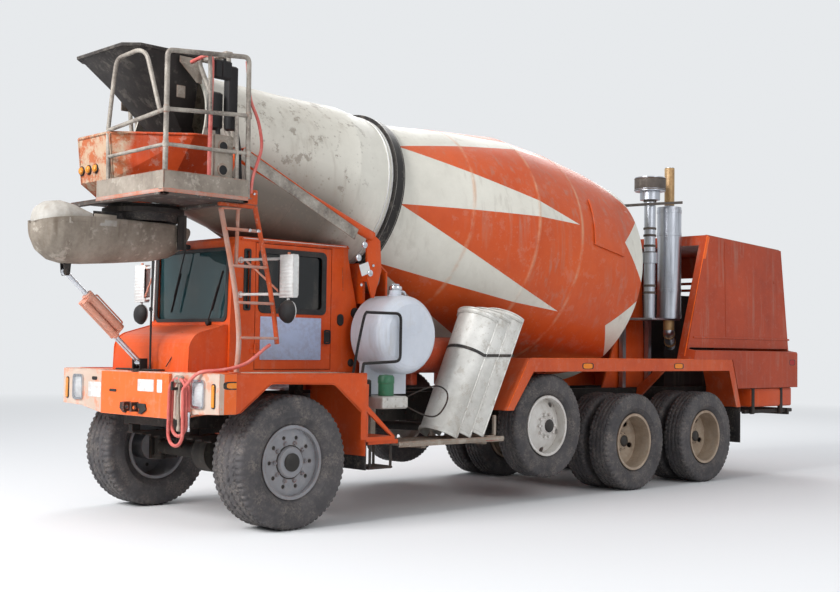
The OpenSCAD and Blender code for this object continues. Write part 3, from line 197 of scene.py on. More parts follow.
class Skin:
    """Closed shells of one piece, gathered as whole arrays."""

    def __init__(self) -> None:
        """Starts with no shells."""
        self.points: list[np.ndarray] = []
        self.faces: list[list[int]] = []
        self.count = 0

    def shell(self, rows: np.ndarray, loop: bool = False) -> "Skin":
        """Joins rows of points with four-sided faces and turns the faces outwards.

        Point j of row i joins point j + 1 and row i + 1. The volume is the sum of a . (b x c) / 6
        over the triangles, and where it is negative every face is reversed.

        Args:
            rows: Points as (rows, points in a row, 3). A row closes on itself.
            loop: Whether the last row joins the first. If not, each end gets a flat face.

        Returns:
            This skin, for a chain of calls.
        """
        n, m = rows.shape[:2]
        i = np.arange(n if loop else n - 1)[:, None]
        j = np.arange(m)[None, :]
        corners = (i * m + j, i * m + (j + 1) % m, (i + 1) % n * m + (j + 1) % m, (i + 1) % n * m + j)
        quads = np.stack(np.broadcast_arrays(*corners), -1).reshape(-1, 4)
        faces = quads.tolist()
        flat = rows.reshape(-1, 3)
        tris = [quads[:, [0, 1, 2]], quads[:, [0, 2, 3]]]
        if not loop:
            for end in (np.arange(m)[::-1], (n - 1) * m + np.arange(m)):
                faces.append(end.tolist())
                tris.append(np.stack([np.full(m - 2, end[0]), end[1:-1], end[2:]], -1))
        t = flat[np.concatenate(tris)] - flat.mean(0)
        if np.einsum("ij,ij->", t[:, 0], np.cross(t[:, 1], t[:, 2])) < 0:
            faces = [f[::-1] for f in faces]
        self.faces += [[v + self.count for v in f] for f in faces]
        self.points.append(flat)
        self.count += len(flat)
        return self

    def tube(self, path: np.ndarray | Sequence[Triple], radius: float | np.ndarray, sides: int = 10,
             loop: bool = False) -> "Skin":
        """Carries a circle along a path: point = path + r (cos a side + sin a up).

        Side is the path's direction crossed with the axis that it runs along least, and up is
        square to both.

        Args:
            path: Points of the middle line as (n, 3).
            radius: One radius, or one for each point of the path.
            sides: Points round the circle.
            loop: Whether the path closes on itself.

        Returns:
            This skin, for a chain of calls.
        """
        path = np.asarray(path, float)
        step = np.roll(path, -1, 0) - np.roll(path, 1, 0) if loop else np.gradient(path, axis=0)
        step /= np.linalg.norm(step, axis=1, keepdims=True)
        least = np.eye(3)[np.argmin(np.abs(step).max(0))]
        side = np.cross(step, least)
        side /= np.linalg.norm(side, axis=1, keepdims=True)
        up = np.cross(side, step)
        a = np.arange(sides) * 2 * math.pi / sides
        r = np.broadcast_to(np.asarray(radius, float), (len(path),))[:, None, None]
        rows = path[:, None] + r * (np.cos(a)[None, :, None] * side[:, None]
                                    + np.sin(a)[None, :, None] * up[:, None])
        return self.shell(rows, loop)

    def strap(self, path: np.ndarray | Sequence[Triple], width: float, thick: float, across: Sequence[float],
              loop: bool = False) -> "Skin":
        """Carries a flat strip with broken edges along a path, its thickness square to its width.

        Args:
            path: Points of the middle line as (n, 3).
            width: Size along across.
            thick: Size square to across and to the path.
            across: Direction of the width.
            loop: Whether the path closes on itself.

        Returns:
            This skin, for a chain of calls.
        """
        path = np.asarray(path, float)
        step = np.roll(path, -1, 0) - np.roll(path, 1, 0) if loop else np.gradient(path, axis=0)
        w = unit(across)[None, :]
        up = np.cross(step, w)
        up /= np.linalg.norm(up, axis=1, keepdims=True)
        o = rounded(width, thick, min(width, thick) * 0.3, 3)
        rows = path[:, None] + o[None, :, :1] * w[:, None] + o[None, :, 1:] * up[:, None]
        return self.shell(rows, loop)

    def lathe(self, profile: Sequence[tuple[float, float]], origin: Triple, axis: Sequence[float],
              sides: int = 40, loop: bool = False) -> "Skin":
        """Turns a profile about an axis: point = origin + h axis + r (cos a u + sin a v).

        Args:
            profile: Points of (radius r, height h).
            origin: Where the axis has height zero.
            axis: Direction of the axis.
            sides: Steps of the turn.
            loop: Whether the last point joins the first, as on a ring.

        Returns:
            This skin, for a chain of calls.
        """
        w = unit(axis)
        u, v = square_to(w)
        p = np.asarray(profile, float)
        c = circle(1.0, sides)
        rows = (np.asarray(origin) + p[:, 1, None, None] * w
                + p[:, 0, None, None] * (c[None, :, :1] * u + c[None, :, 1:] * v))
        return self.shell(rows, loop)

    def prism(self, outline: np.ndarray, origin: Triple, u: Sequence[float], v: Sequence[float],
              depth: float, soft: float = 0.002) -> "Skin":
        """Carries an outline along u x v, drawn in a little at both ends so that its edges are broken.

        Args:
            outline: Points of (along u, along v).
            origin: Where the outline has its zero.
            u: First direction of the outline.
            v: Second direction of the outline.
            depth: How far it is carried.
            soft: Width of the broken edges.

        Returns:
            This skin, for a chain of calls.
        """
        o = np.asarray(outline, float)
        mid = (o.max(0) + o.min(0)) / 2
        half = np.maximum(np.abs(o - mid).max(0), 1e-6)
        small = mid + (o - mid) * (1 - min(soft, half.min() / 2) / half)
        w = np.cross(u, v)
        soft = min(soft, abs(depth) / 3)
        rows = [(small, 0.0), (o, soft), (o, depth - soft), (small, depth)]
        grid = np.stack([np.asarray(origin) + q[:, :1] * np.asarray(u) + q[:, 1:] * np.asarray(v)
                         + h * w for q, h in rows])
        return self.shell(grid)

    def slab(self, x: tuple[float, float], y: tuple[float, float], z: tuple[float, float],
             soft: float = 0.004) -> "Skin":
        """Block between two corners with its twelve edges rounded by soft."""
        o = rounded(x[1] - x[0], y[1] - y[0], min(soft, (x[1] - x[0]) / 2.1, (y[1] - y[0]) / 2.1), 3)
        return self.prism(o, ((x[0] + x[1]) / 2, (y[0] + y[1]) / 2, z[0]), EAST, NORTH, z[1] - z[0], soft)

    def band(self, outer: np.ndarray, inner: np.ndarray, origin: Triple, u: Sequence[float],
             v: Sequence[float], depth: float) -> "Skin":
        """Flat ring between two outlines, carried along u x v.

        Args:
            outer: Outline of (along u, along v).
            inner: The opening, with as many points.
            origin: Where both outlines have their zero.
            u: First direction of the outlines.
            v: Second direction of the outlines.
            depth: How far they are carried.

        Returns:
            This skin, for a chain of calls.
        """
        w = np.cross(u, v)
        rows = [(outer, 0.0), (outer, depth * 0.8), (outer * 0.997, depth), (inner * 1.003, depth),
                (inner, depth * 0.8), (inner, 0.0)]
        grid = np.stack([np.asarray(origin) + q[:, :1] * np.asarray(u) + q[:, 1:] * np.asarray(v)
                         + h * w for q, h in rows])
        return self.shell(grid, True)

    def sheet(self, grid: np.ndarray, thick: float) -> "Skin":
        """Gives a curved grid a thickness: inner point = point - thick n, n the unit of du x dv.

        Args:
            grid: Points as (rows, columns, 3), with du x dv outwards.
            thick: The wall.

        Returns:
            This skin, for a chain of calls.
        """
        du, dv = np.gradient(grid, axis=0), np.gradient(grid, axis=1)
        normal = np.cross(du, dv)
        normal /= np.linalg.norm(normal, axis=2, keepdims=True)
        return self.shell(np.concatenate([grid, (grid - normal * thick)[:, ::-1]], 1))

    def heads(self, places: Sequence[Triple], axis: Sequence[float], across: float,
              high: float) -> "Skin":
        """Hexagon bolt heads.

        Args:
            places: Middle of each head's seat.
            axis: Direction in which they stand out.
            across: Size across the flats.
            high: Height of a head.

        Returns:
            This skin, for a chain of calls.
        """
        u, v = square_to(axis)
        for place in places:
            self.prism(circle(across * 0.577, 6), tuple(place), u, v, high, high * 0.25)
        return self

    def mirrored(self) -> "Skin":
        """The same shells on the other side of the truck, their faces reversed with them.

        Returns:
            The mirrored skin.
        """
        other = Skin()
        other.points = [p * (1, -1, 1) for p in self.points]
        other.faces = [f[::-1] for f in self.faces]
        other.count = self.count
        return other

    def both(self) -> "Skin":
        """These shells together with their mirror image.

        Returns:
            One skin with both sides.
        """
        other = self.mirrored()
        self.faces += [[v + self.count for v in f] for f in other.faces]
        self.points += other.points
        self.count *= 2
        return self

    def piece(self, name: str, finish: "Finish", body: str = "truck",
              replaces: Sequence[str] = (), crease: float = 38.0) -> bpy.types.Object:
        """Makes the shells one object, with its place in its mesh.

        Args:
            name: The piece's name.
            finish: Its surface.
            body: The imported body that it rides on.
            replaces: CAD nodes that it stands for.
            crease: Angle in degrees past which an edge is sharp.

        Returns:
            The object.
        """
        mesh = bpy.data.meshes.new(name)
        points = np.concatenate(self.points) + (AXLE_X, 0, 0)
        mesh.from_pydata(points.tolist(), [], self.faces)
        mesh.polygons.foreach_set("use_smooth", np.ones(len(mesh.polygons), bool))
        mesh.set_sharp_from_angle(angle=math.radians(crease))
        mesh.materials.append(finish.material())
        obj = bpy.data.objects.new(name, mesh)
        bpy.context.scene.collection.objects.link(obj)
        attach(obj, body)
        if replaces:
            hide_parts(*replaces)
        log.info("%s: %d faces on %s", name, len(mesh.polygons), body)
        return obj


# Shader effects that several finishes share


class Tree:
    """Short calls that add and join the nodes of one material or node group."""

    def __init__(self, tree: bpy.types.NodeTree) -> None:
        """Works on one node tree."""
        self.tree = tree

    def feed(self, socket: bpy.types.NodeSocket, value: object) -> None:
        """Joins an output to a socket, or sets the socket's own value.

        Args:
            socket: The input.
            value: A socket to link, or a number or colour to set.
        """
        if isinstance(value, bpy.types.NodeSocket):
            self.tree.links.new(value, socket)
        else:
            socket.default_value = value

    def add(self, kind: str, inputs: dict | None = None, **settings: object) -> bpy.types.Node:
        """Adds a node, sets its settings and feeds its inputs.

        Args:
            kind: The node's type.
            inputs: Values or sockets by the input's name or number.
            settings: The node's own properties.

        Returns:
            The node.
        """
        node = self.tree.nodes.new(kind)
        for key, value in settings.items():
            setattr(node, key, value)
        for key, value in (inputs or {}).items():
            self.feed(node.inputs[key], value)
        return node

    def math(self, operation: str, *values: object) -> bpy.types.NodeSocket:
        """One Math node."""
        return self.add("ShaderNodeMath", dict(enumerate(values)), operation=operation).outputs[0]

    def mix(self, mask: object, low: object, high: object) -> bpy.types.NodeSocket:
        """Colour low where the mask is 0, and high where it is 1."""
        node = self.add("ShaderNodeMix", {0: mask, 6: low, 7: high}, data_type="RGBA")
        return node.outputs[2]

    def span(self, value: object, low: float, high: float) -> bpy.types.NodeSocket:
        """Value carried from low..high to 0..1 and held there."""
        return self.add("ShaderNodeMapRange", {0: value, 1: low, 2: high}).outputs[0]

    def noise(self, vector: object, scale: object, detail: float = 4.0,
              rough: float = 0.55) -> bpy.types.NodeSocket:
        """Fractal noise of 0 to 1."""
        return self.add("ShaderNodeTexNoise", {"Vector": vector, "Scale": scale, "Detail": detail,
                                               "Roughness": rough}).outputs[0]

    def stretch(self, vector: object, scale: Triple) -> bpy.types.NodeSocket:
        """Vector scaled along its three axes."""
        return self.add("ShaderNodeMapping", {"Vector": vector, "Scale": scale}).outputs[0]

    def shared(self, effect: "Effect", **inputs: object) -> bpy.types.NodeSocket:
        """Places a shared effect.

        Args:
            effect: The effect.
            inputs: Values or sockets by the input's name, with _ for a space.

        Returns:
            Its output socket.
        """
        node = self.tree.nodes.new("ShaderNodeGroup")
        node.node_tree = effect.group()
        for key, value in inputs.items():
            self.feed(node.inputs[key.replace("_", " ")], value)
        return node.outputs[0]


@dataclass(frozen=True)
class Effect:
    """A node group with named inputs and one output, built the first time it is asked for."""

    name: str
    inputs: tuple[tuple[str, str, object], ...]
    output: tuple[str, str]
    draw: Callable[[Tree, dict], bpy.types.NodeSocket]

    def group(self) -> bpy.types.NodeTree:
        """The node group itself.

        Returns:
            The node group.
        """
        found = bpy.data.node_groups.get(self.name)
        if found:
            return found
        made = bpy.data.node_groups.new(self.name, "ShaderNodeTree")
        for name, kind, value in self.inputs:
            socket = made.interface.new_socket(name=name, in_out="INPUT", socket_type="NodeSocket" + kind)
            if value is not None:
                socket.default_value = value
        made.interface.new_socket(name=self.output[0], in_out="OUTPUT",
                                  socket_type="NodeSocket" + self.output[1])
        tree = Tree(made)
        inside = made.nodes.new("NodeGroupInput")
        outside = made.nodes.new("NodeGroupOutput")
        tree.feed(outside.inputs[0], self.draw(tree, {s.name: s for s in inside.outputs if s.name}))
        return made


def draw_mottle(t: Tree, s: dict) -> bpy.types.NodeSocket:
    """Two tones in broad soft clouds with finer clouds inside them.

    Args:
        t: The tree that takes the nodes.
        s: The group's input sockets by name.

    Returns:
        Socket with the mask, 0 to 1.
    """
    broad = t.noise(s["Vector"], s["Scale"], 3.0)
    fine = t.noise(s["Vector"], t.math("MULTIPLY", s["Scale"], 9.0), 5.0, 0.7)
    both = t.math("ADD", t.math("MULTIPLY", broad, 0.7), t.math("MULTIPLY", fine, 0.3))
    return t.mix(t.span(both, 0.36, 0.64), s["Dark"], s["Light"])


def draw_edge(t: Tree, s: dict) -> bpy.types.NodeSocket:
    """One where the surface turns within the reach, broken up by noise.

    Args:
        t: The tree that takes the nodes.
        s: The group's input sockets by name.

    Returns:
        Socket with the mask, 0 to 1.
    """
    soft = t.add("ShaderNodeBevel", {"Radius": s["Reach"]}, samples=4).outputs[0]
    flat = t.add("ShaderNodeNewGeometry").outputs["Normal"]
    turn = t.add("ShaderNodeVectorMath", {0: soft, 1: flat}, operation="DOT_PRODUCT").outputs["Value"]
    worn = t.span(turn, 0.995, 0.86)
    return t.math("MULTIPLY", worn, t.span(t.noise(s["Vector"], 22.0, 6.0, 0.7), 0.42, 0.6))


def draw_dust(t: Tree, s: dict) -> bpy.types.NodeSocket:
    """Dust on faces that look up, and a film low down near the wheels.

    Args:
        t: The tree that takes the nodes.
        s: The group's input sockets by name.

    Returns:
        Socket with the mask, 0 to 1.
    """
    up = t.add("ShaderNodeSeparateXYZ", {0: t.add("ShaderNodeNewGeometry").outputs["Normal"]}).outputs[2]
    low = t.add("ShaderNodeSeparateXYZ", {0: s["Vector"]}).outputs[2]
    cloud = t.span(t.noise(s["Vector"], 3.5, 6.0, 0.65), 0.3, 0.7)
    film = t.math("MULTIPLY", t.span(low, 1.5, 0.3), 0.7)
    settled = t.math("MAXIMUM", t.span(up, 0.35, 0.95), film)
    return t.math("MULTIPLY", t.math("MULTIPLY", settled, cloud), s["Amount"])


def draw_streak(t: Tree, s: dict) -> bpy.types.NodeSocket:
    """Runs of dirt down upright faces: noise drawn out along Z.

    Args:
        t: The tree that takes the nodes.
        s: The group's input sockets by name.

    Returns:
        Socket with the mask, 0 to 1.
    """
    lines = t.noise(t.stretch(s["Vector"], (14.0, 14.0, 0.9)), 1.0, 4.0, 0.6)
    patch = t.span(t.noise(s["Vector"], 1.4, 2.0), 0.4, 0.65)
    return t.math("MULTIPLY", t.math("MULTIPLY", t.span(lines, 0.52, 0.7), patch), s["Amount"])


def draw_spatter(t: Tree, s: dict) -> bpy.types.NodeSocket:
    """Drops and crusts of cement: the near middles of a cell pattern, gathered in patches.

    Args:
        t: The tree that takes the nodes.
        s: The group's input sockets by name.

    Returns:
        Socket with the mask, 0 to 1.
    """
    cells = t.add("ShaderNodeTexVoronoi", {"Vector": s["Vector"], "Scale": s["Scale"],
                                           "Randomness": 1.0}).outputs["Distance"]
    drops = t.span(cells, 0.24, 0.12)
    crust = t.span(t.noise(s["Vector"], t.math("MULTIPLY", s["Scale"], 0.35), 8.0, 0.75), 0.56, 0.6)
    patch = t.span(t.noise(s["Vector"], 1.7, 3.0), 0.42, 0.6)
    return t.math("MULTIPLY", t.math("MAXIMUM", t.math("MULTIPLY", drops, patch), crust), s["Cover"])


def draw_grain(t: Tree, s: dict) -> bpy.types.NodeSocket:
    """Surface relief from fine noise and from a mask that stands proud.

    Args:
        t: The tree that takes the nodes.
        s: The group's input sockets by name.

    Returns:
        Socket with the mask, 0 to 1.
    """
    fine = t.noise(s["Vector"], s["Scale"], 6.0, 0.6)
    high = t.math("ADD", t.math("MULTIPLY", fine, s["Fine"]), s["Raised"])
    return t.add("ShaderNodeBump", {"Height": high, "Strength": 0.6, "Distance": 0.004}).outputs[0]


MOTTLE = Effect("Mottled tone", (("Vector", "Vector", None), ("Scale", "Float", 1.0),
                                 ("Light", "Color", (1, 1, 1, 1)), ("Dark", "Color", (0, 0, 0, 1))),
                ("Colour", "Color"), draw_mottle)
EDGE = Effect("Worn edge", (("Vector", "Vector", None), ("Reach", "Float", 0.01)),
              ("Mask", "Float"), draw_edge)
DUST = Effect("Settled dust", (("Vector", "Vector", None), ("Amount", "Float", 0.5)),
              ("Mask", "Float"), draw_dust)
STREAK = Effect("Dirt runs", (("Vector", "Vector", None), ("Amount", "Float", 0.5)),
                ("Mask", "Float"), draw_streak)
SPATTER = Effect("Cement spatter", (("Vector", "Vector", None), ("Scale", "Float", 30.0),
                                    ("Cover", "Float", 0.5)), ("Mask", "Float"), draw_spatter)
GRAIN = Effect("Surface relief", (("Vector", "Vector", None), ("Scale", "Float", 200.0),
                                  ("Fine", "Float", 0.2), ("Raised", "Float", 0.0)),
               ("Normal", "Vector"), draw_grain)


# Finishes

CEMENT = shade(186, 178, 166)
ROAD_DUST = shade(150, 138, 124)
RUST = shade(118, 62, 38)
BACKDROP: Colour = (0.8, 0.82, 0.84, 1.0)


@dataclass(frozen=True)
class Finish:
    """A named surface of the truck, with the record's slot that it belongs to."""

    name: str
    slot: str

    def material(self) -> bpy.types.Material:
        """The material, made the first time it is asked for.

        Returns:
            The material.
        """
        found = bpy.data.materials.get(self.name)
        if found:
            return found
        made = bpy.data.materials.new(self.name)
        made.use_nodes = True
        made.node_tree.nodes.clear()
        t = Tree(made.node_tree)
        self.dress(t, t.add("ShaderNodeTexCoord").outputs["Object"])
        return made

    def dress(self, t: Tree, place: bpy.types.NodeSocket) -> None:
        """Fills the material's node tree."""
        raise NotImplementedError

    def close(self, t: Tree, inputs: dict) -> None:
        """Adds the surface shader and the material's output."""
        shader = t.add("ShaderNodeBsdfPrincipled", inputs)
        t.add("ShaderNodeOutputMaterial", {"Surface": shader.outputs[0]})


@dataclass(frozen=True)
class Coating(Finish):
    """Paint, bare plate or crusted steel, worn by the same few effects in different amounts."""

    light: Colour = (0.5, 0.5, 0.5, 1)
    dark: Colour = (0.4, 0.4, 0.4, 1)
    under: Colour = RUST
    dirt: Colour = ROAD_DUST
    rough: float = 0.42
    metal: float = 0.0
    coat: float = 0.15
    chips: float = 0.6
    dust: float = 0.35
    runs: float = 0.35
    cement: float = 0.12
    drops: float = 26.0
    cloud: float = 1.1
    relief: float = 0.15

    def tone(self, t: Tree, place: bpy.types.NodeSocket) -> bpy.types.NodeSocket:
        """The clean colour, in two tones."""
        return t.shared(MOTTLE, Vector=place, Scale=self.cloud, Light=self.light, Dark=self.dark)

    def dress(self, t: Tree, place: bpy.types.NodeSocket) -> None:
        """Clean colour, then chipped edges, dirt runs, dust and cement, in that order.

        Args:
            t: The tree that takes the nodes.
            place: Socket with the place in the piece's own mesh.
        """
        colour = self.tone(t, place)
        chip = t.math("MULTIPLY", t.shared(EDGE, Vector=place, Reach=0.012), self.chips)
        colour = t.mix(chip, colour, self.under)
        colour = t.mix(t.shared(STREAK, Vector=place, Amount=self.runs), colour, self.dirt)
        film = t.shared(DUST, Vector=place, Amount=self.dust)
        colour = t.mix(film, colour, self.dirt)
        crust = t.shared(SPATTER, Vector=place, Scale=self.drops, Cover=self.cement)
        colour = t.mix(crust, colour, CEMENT)
        matt = t.math("ADD", self.rough, t.math("MULTIPLY", t.math("ADD", film, crust), 0.4))
        normal = t.shared(GRAIN, Vector=place, Scale=160.0, Fine=self.relief, Raised=crust)
        self.close(t, {"Base Color": colour, "Roughness": t.math("MINIMUM", matt, 0.95),
                       "Metallic": self.metal, "Coat Weight": self.coat, "Coat Roughness": 0.25,
                       "Specular IOR Level": 0.28, "Normal": normal})


@dataclass(frozen=True)
class Mark:
    """A lamp or blank sheet let in flush with a wall, the same on both sides of the truck."""

    middle: Triple
    half: Triple
    colour: Colour
    rim: float = 1.3
    power: float = 4.0

    def cover(self, t: Tree, place: bpy.types.NodeSocket, grow: float) -> bpy.types.NodeSocket:
        """One inside the rounded block where the sum of (offset / half size) ** power is under 1.

        Args:
            t: The tree that takes the nodes.
            place: Socket with the place in the piece's own mesh.
            grow: Factor on the half sizes.

        Returns:
            Socket with the mask, 0 or 1.
        """
        p = t.add("ShaderNodeSeparateXYZ", {0: place})
        across = t.math("ABSOLUTE", p.outputs[1])
        total: object = 0.0
        for value, mid, half in zip((p.outputs[0], across, p.outputs[2]),
                                    (self.middle[0] + AXLE_X, self.middle[1], self.middle[2]), self.half):
            off = t.math("DIVIDE", t.math("SUBTRACT", value, mid), half * grow)
            total = t.math("ADD", total, t.math("POWER", t.math("ABSOLUTE", off), self.power))
        return t.math("LESS_THAN", total, 1.0)


@dataclass(frozen=True)
class MarkedPaint(Coating):
    """Paint with lamps or blank sheets in black rims that are flush with it."""

    marks: tuple[Mark, ...] = ()

    def tone(self, t: Tree, place: bpy.types.NodeSocket) -> bpy.types.NodeSocket:
        """The clean colour, with each mark's rim and then the mark over it.

        Args:
            t: The tree that takes the nodes.
            place: Socket with the place in the piece's own mesh.

        Returns:
            Socket with the colour.
        """
        colour = self.ground(t, place)
        for mark in self.marks:
            colour = t.mix(mark.cover(t, place, mark.rim), colour, shade(24, 23, 23))
            colour = t.mix(mark.cover(t, place, 1.0), colour, mark.colour)
        return colour

    def ground(self, t: Tree, place: bpy.types.NodeSocket) -> bpy.types.NodeSocket:
        """The clean colour without its marks."""
        return Coating.tone(self, t, place)


@dataclass(frozen=True)
class BumperPaint(MarkedPaint):
    """White ends, orange raised middle and returns, and black towing ears on one folded bumper."""

    middle: Colour = shade(226, 98, 30)
    face_x: float = 0.7605
    hook_x: float = 0.7915
    white_x: float = 0.715

    def ground(self, t: Tree, place: bpy.types.NodeSocket) -> bpy.types.NodeSocket:
        """Orange behind the white ends and on the folded box, black in front of the raised panel.

        Args:
            t: The tree that takes the nodes.
            place: Socket with the place in the piece's own mesh.

        Returns:
            Socket with the colour.
        """
        base = Coating.tone(self, t, place)
        x = t.add("ShaderNodeSeparateXYZ", {0: place}).outputs[0]
        rubbed = t.span(t.noise(place, 5.0, 7.0, 0.7), 0.52, 0.6)
        base = t.mix(t.math("MULTIPLY", rubbed, 0.75), base, shade(222, 128, 92))
        base = t.mix(t.math("GREATER_THAN", x, self.face_x + AXLE_X), base, self.middle)
        base = t.mix(t.math("LESS_THAN", x, self.white_x + AXLE_X), base, self.middle)
        return t.mix(t.math("GREATER_THAN", x, self.hook_x + AXLE_X), base, shade(26, 24, 24))


@dataclass(frozen=True)
class CollectorPaint(Coating):
    """Orange sides with a front that concrete has rubbed down to beige and rust."""

    front: Colour = shade(178, 152, 128)
    rusty: Colour = shade(168, 92, 56)
    from_x: float = 1.06

    def tone(self, t: Tree, place: bpy.types.NodeSocket) -> bpy.types.NodeSocket:
        """Orange that gives way to beige and rust forwards of from_x, along a broken edge.

        Args:
            t: The tree that takes the nodes.
            place: Socket with the place in the piece's own mesh.

        Returns:
            Socket with the colour.
        """
        x = t.add("ShaderNodeSeparateXYZ", {0: place}).outputs[0]
        broken = t.math("ADD", x, t.math("MULTIPLY", t.noise(place, 6.0, 6.0, 0.7), 0.16))
        ahead = t.span(broken, self.from_x + AXLE_X + 0.06, self.from_x + AXLE_X + 0.12)
        worn = t.mix(t.span(t.noise(place, 9.0, 8.0, 0.75), 0.46, 0.56), self.front, self.rusty)
        return t.mix(ahead, Coating.tone(self, t, place), worn)


@dataclass(frozen=True)
class DrumPaint(Coating):
    """White drum with eight orange spikes that reach the ring, a white star behind, a grey neck."""

    orange: Colour = shade(208, 88, 36)
    orange_dark: Colour = shade(190, 74, 28)
    back_x: float = -5.45
    height: float = 2.155
    tilt: float = 10.7
    spikes: int = 8
    tip_s: float = 1.85
    ring_s: float = 4.0
    ring_r: float = 0.79

    def tone(self, t: Tree, place: bpy.types.NodeSocket) -> bpy.types.NodeSocket:
        """Works in the drum's own distance along its axis, angle about it and radius.

        A white spike is an isosceles triangle of constant edge slope on the unrolled cone, so its
        half angle is the ring's radius over the radius here, times the share of the way forwards.

        Args:
            t: The tree that takes the nodes.
            place: Socket with the place in the piece's own mesh.

        Returns:
            Socket with the colour.
        """
        p = t.add("ShaderNodeSeparateXYZ", {0: place})
        dx = t.math("SUBTRACT", p.outputs[0], self.back_x + AXLE_X)
        dz = t.math("SUBTRACT", p.outputs[2], self.height)
        c, s = math.cos(math.radians(self.tilt)), math.sin(math.radians(self.tilt))
        along = t.math("ADD", t.math("MULTIPLY", dx, c), t.math("MULTIPLY", dz, s))
        up = t.math("SUBTRACT", t.math("MULTIPLY", dz, c), t.math("MULTIPLY", dx, s))
        angle = t.math("MULTIPLY", t.math("ARCTAN2", p.outputs[1], up), 180 / math.pi)
        radius = t.math("SQRT", t.math("ADD", t.math("MULTIPLY", up, up),
                                       t.math("MULTIPLY", p.outputs[1], p.outputs[1])))
        step = 360 / self.spikes
        share = t.span(along, self.tip_s, self.ring_s)
        middle = t.math("ADD", 73.5, t.math("MULTIPLY", t.math("SUBTRACT", 1.0, share), 3.1))
        off = t.math("ABSOLUTE", t.math("WRAP", t.math("SUBTRACT", angle, middle), step / 2, -step / 2))
        half = t.math("DIVIDE", t.math("MULTIPLY", share, self.ring_r * step / 2), radius)
        white = t.math("MAXIMUM", t.math("GREATER_THAN", half, off),
                       t.math("GREATER_THAN", along, self.ring_s - 0.012))
        star = t.math("ABSOLUTE", t.math("WRAP", t.math("SUBTRACT", angle, 75.5), step / 2, -step / 2))
        edge = t.math("SUBTRACT", 1.06, t.math("MULTIPLY", star, 0.44 * 2 / step))
        white = t.math("MAXIMUM", white, t.math("GREATER_THAN", edge, along))
        pale = Coating.tone(self, t, place)
        warm = t.shared(MOTTLE, Vector=place, Scale=0.9, Light=self.orange, Dark=self.orange_dark)
        colour = t.mix(white, warm, pale)
        for seam in (1.81, 2.446, 3.217):
            near = t.math("ABSOLUTE", t.math("SUBTRACT", along, seam))
            rub = t.math("MULTIPLY", t.span(near, 0.03, 0.008),
                         t.span(t.noise(place, 3.0, 6.0, 0.7), 0.4, 0.6))
            colour = t.mix(t.math("MULTIPLY", rub, 0.6), colour, shade(206, 158, 124))
        grime = t.span(t.noise(place, 2.2, 8.0, 0.75), 0.45, 0.7)
        dusty = t.math("MULTIPLY", t.span(along, 4.45, 5.0),
                       t.math("ADD", 0.6, t.math("MULTIPLY", grime, 0.4)))
        colour = t.mix(dusty, colour, shade(186, 181, 170))
        under = t.math("MULTIPLY", t.span(along, 4.3, 4.7), t.span(up, 0.05, -0.35))
        colour = t.mix(under, colour, shade(122, 116, 106))
        speck = t.shared(SPATTER, Vector=place, Scale=18.0, Cover=0.7)
        zone = t.math("MULTIPLY", t.span(along, 4.3, 4.6), speck)
        colour = t.mix(zone, colour, shade(124, 114, 102))
        ring = t.math("MULTIPLY", t.math("GREATER_THAN", radius, 0.797),
                      t.math("MULTIPLY", t.math("GREATER_THAN", along, 4.005),
                             t.math("LESS_THAN", along, 4.14)))
        return t.mix(ring, colour, shade(30, 27, 26))


@dataclass(frozen=True)
class Metal(Finish):
    """Bare or plated metal with fine scratches along one way and a stain."""

    light: Colour = (0.6, 0.6, 0.6, 1)
    dark: Colour = (0.4, 0.4, 0.4, 1)
    stain: Colour = RUST
    rough: float = 0.3
    spots: float = 0.2
    lay: Triple = (30.0, 30.0, 4.0)

    def dress(self, t: Tree, place: bpy.types.NodeSocket) -> None:
        """Two tones along the scratches, with stained spots that are rougher.

        Args:
            t: The tree that takes the nodes.
            place: Socket with the place in the piece's own mesh.
        """
        lines = t.noise(t.stretch(place, self.lay), 2.0, 6.0, 0.6)
        colour = t.mix(t.span(lines, 0.3, 0.7), self.dark, self.light)
        spot = t.math("MULTIPLY", t.span(t.noise(place, 6.0, 8.0, 0.75), 0.55, 0.7), self.spots)
        colour = t.mix(spot, colour, self.stain)
        film = t.shared(DUST, Vector=place, Amount=0.25)
        colour = t.mix(film, colour, ROAD_DUST)
        rough = t.math("ADD", self.rough, t.math("ADD", t.math("MULTIPLY", lines, 0.18),
                                                 t.math("MULTIPLY", spot, 0.4)))
        self.close(t, {"Base Color": colour, "Metallic": 0.95, "Roughness": rough,
                       "Normal": t.shared(GRAIN, Vector=place, Scale=120.0, Fine=0.08, Raised=0.0)})


@dataclass(frozen=True)
class Rubber(Finish):
    """Rubber under a broken film of dust."""

    light: Colour = shade(52, 50, 50)
    dark: Colour = shade(30, 29, 30)
    dirt: Colour = shade(128, 118, 106)
    film: float = 0.5
    rough: float = 0.72

    def dress(self, t: Tree, place: bpy.types.NodeSocket) -> None:
        """Two dark tones under a broken film of dry dust.

        Args:
            t: The tree that takes the nodes.
            place: Socket with the place in the piece's own mesh.
        """
        colour = t.shared(MOTTLE, Vector=place, Scale=2.4, Light=self.light, Dark=self.dark)
        cloud = t.span(t.noise(place, 7.0, 8.0, 0.7), 0.44, 0.66)
        fine = t.span(t.noise(place, 60.0, 4.0, 0.7), 0.4, 0.6)
        mask = t.math("MULTIPLY", t.math("MULTIPLY", cloud, fine), self.film)
        colour = t.mix(mask, colour, self.dirt)
        self.close(t, {"Base Color": colour, "Roughness": self.rough, "Specular IOR Level": 0.35,
                       "Normal": t.shared(GRAIN, Vector=place, Scale=260.0, Fine=0.35, Raised=0.0)})


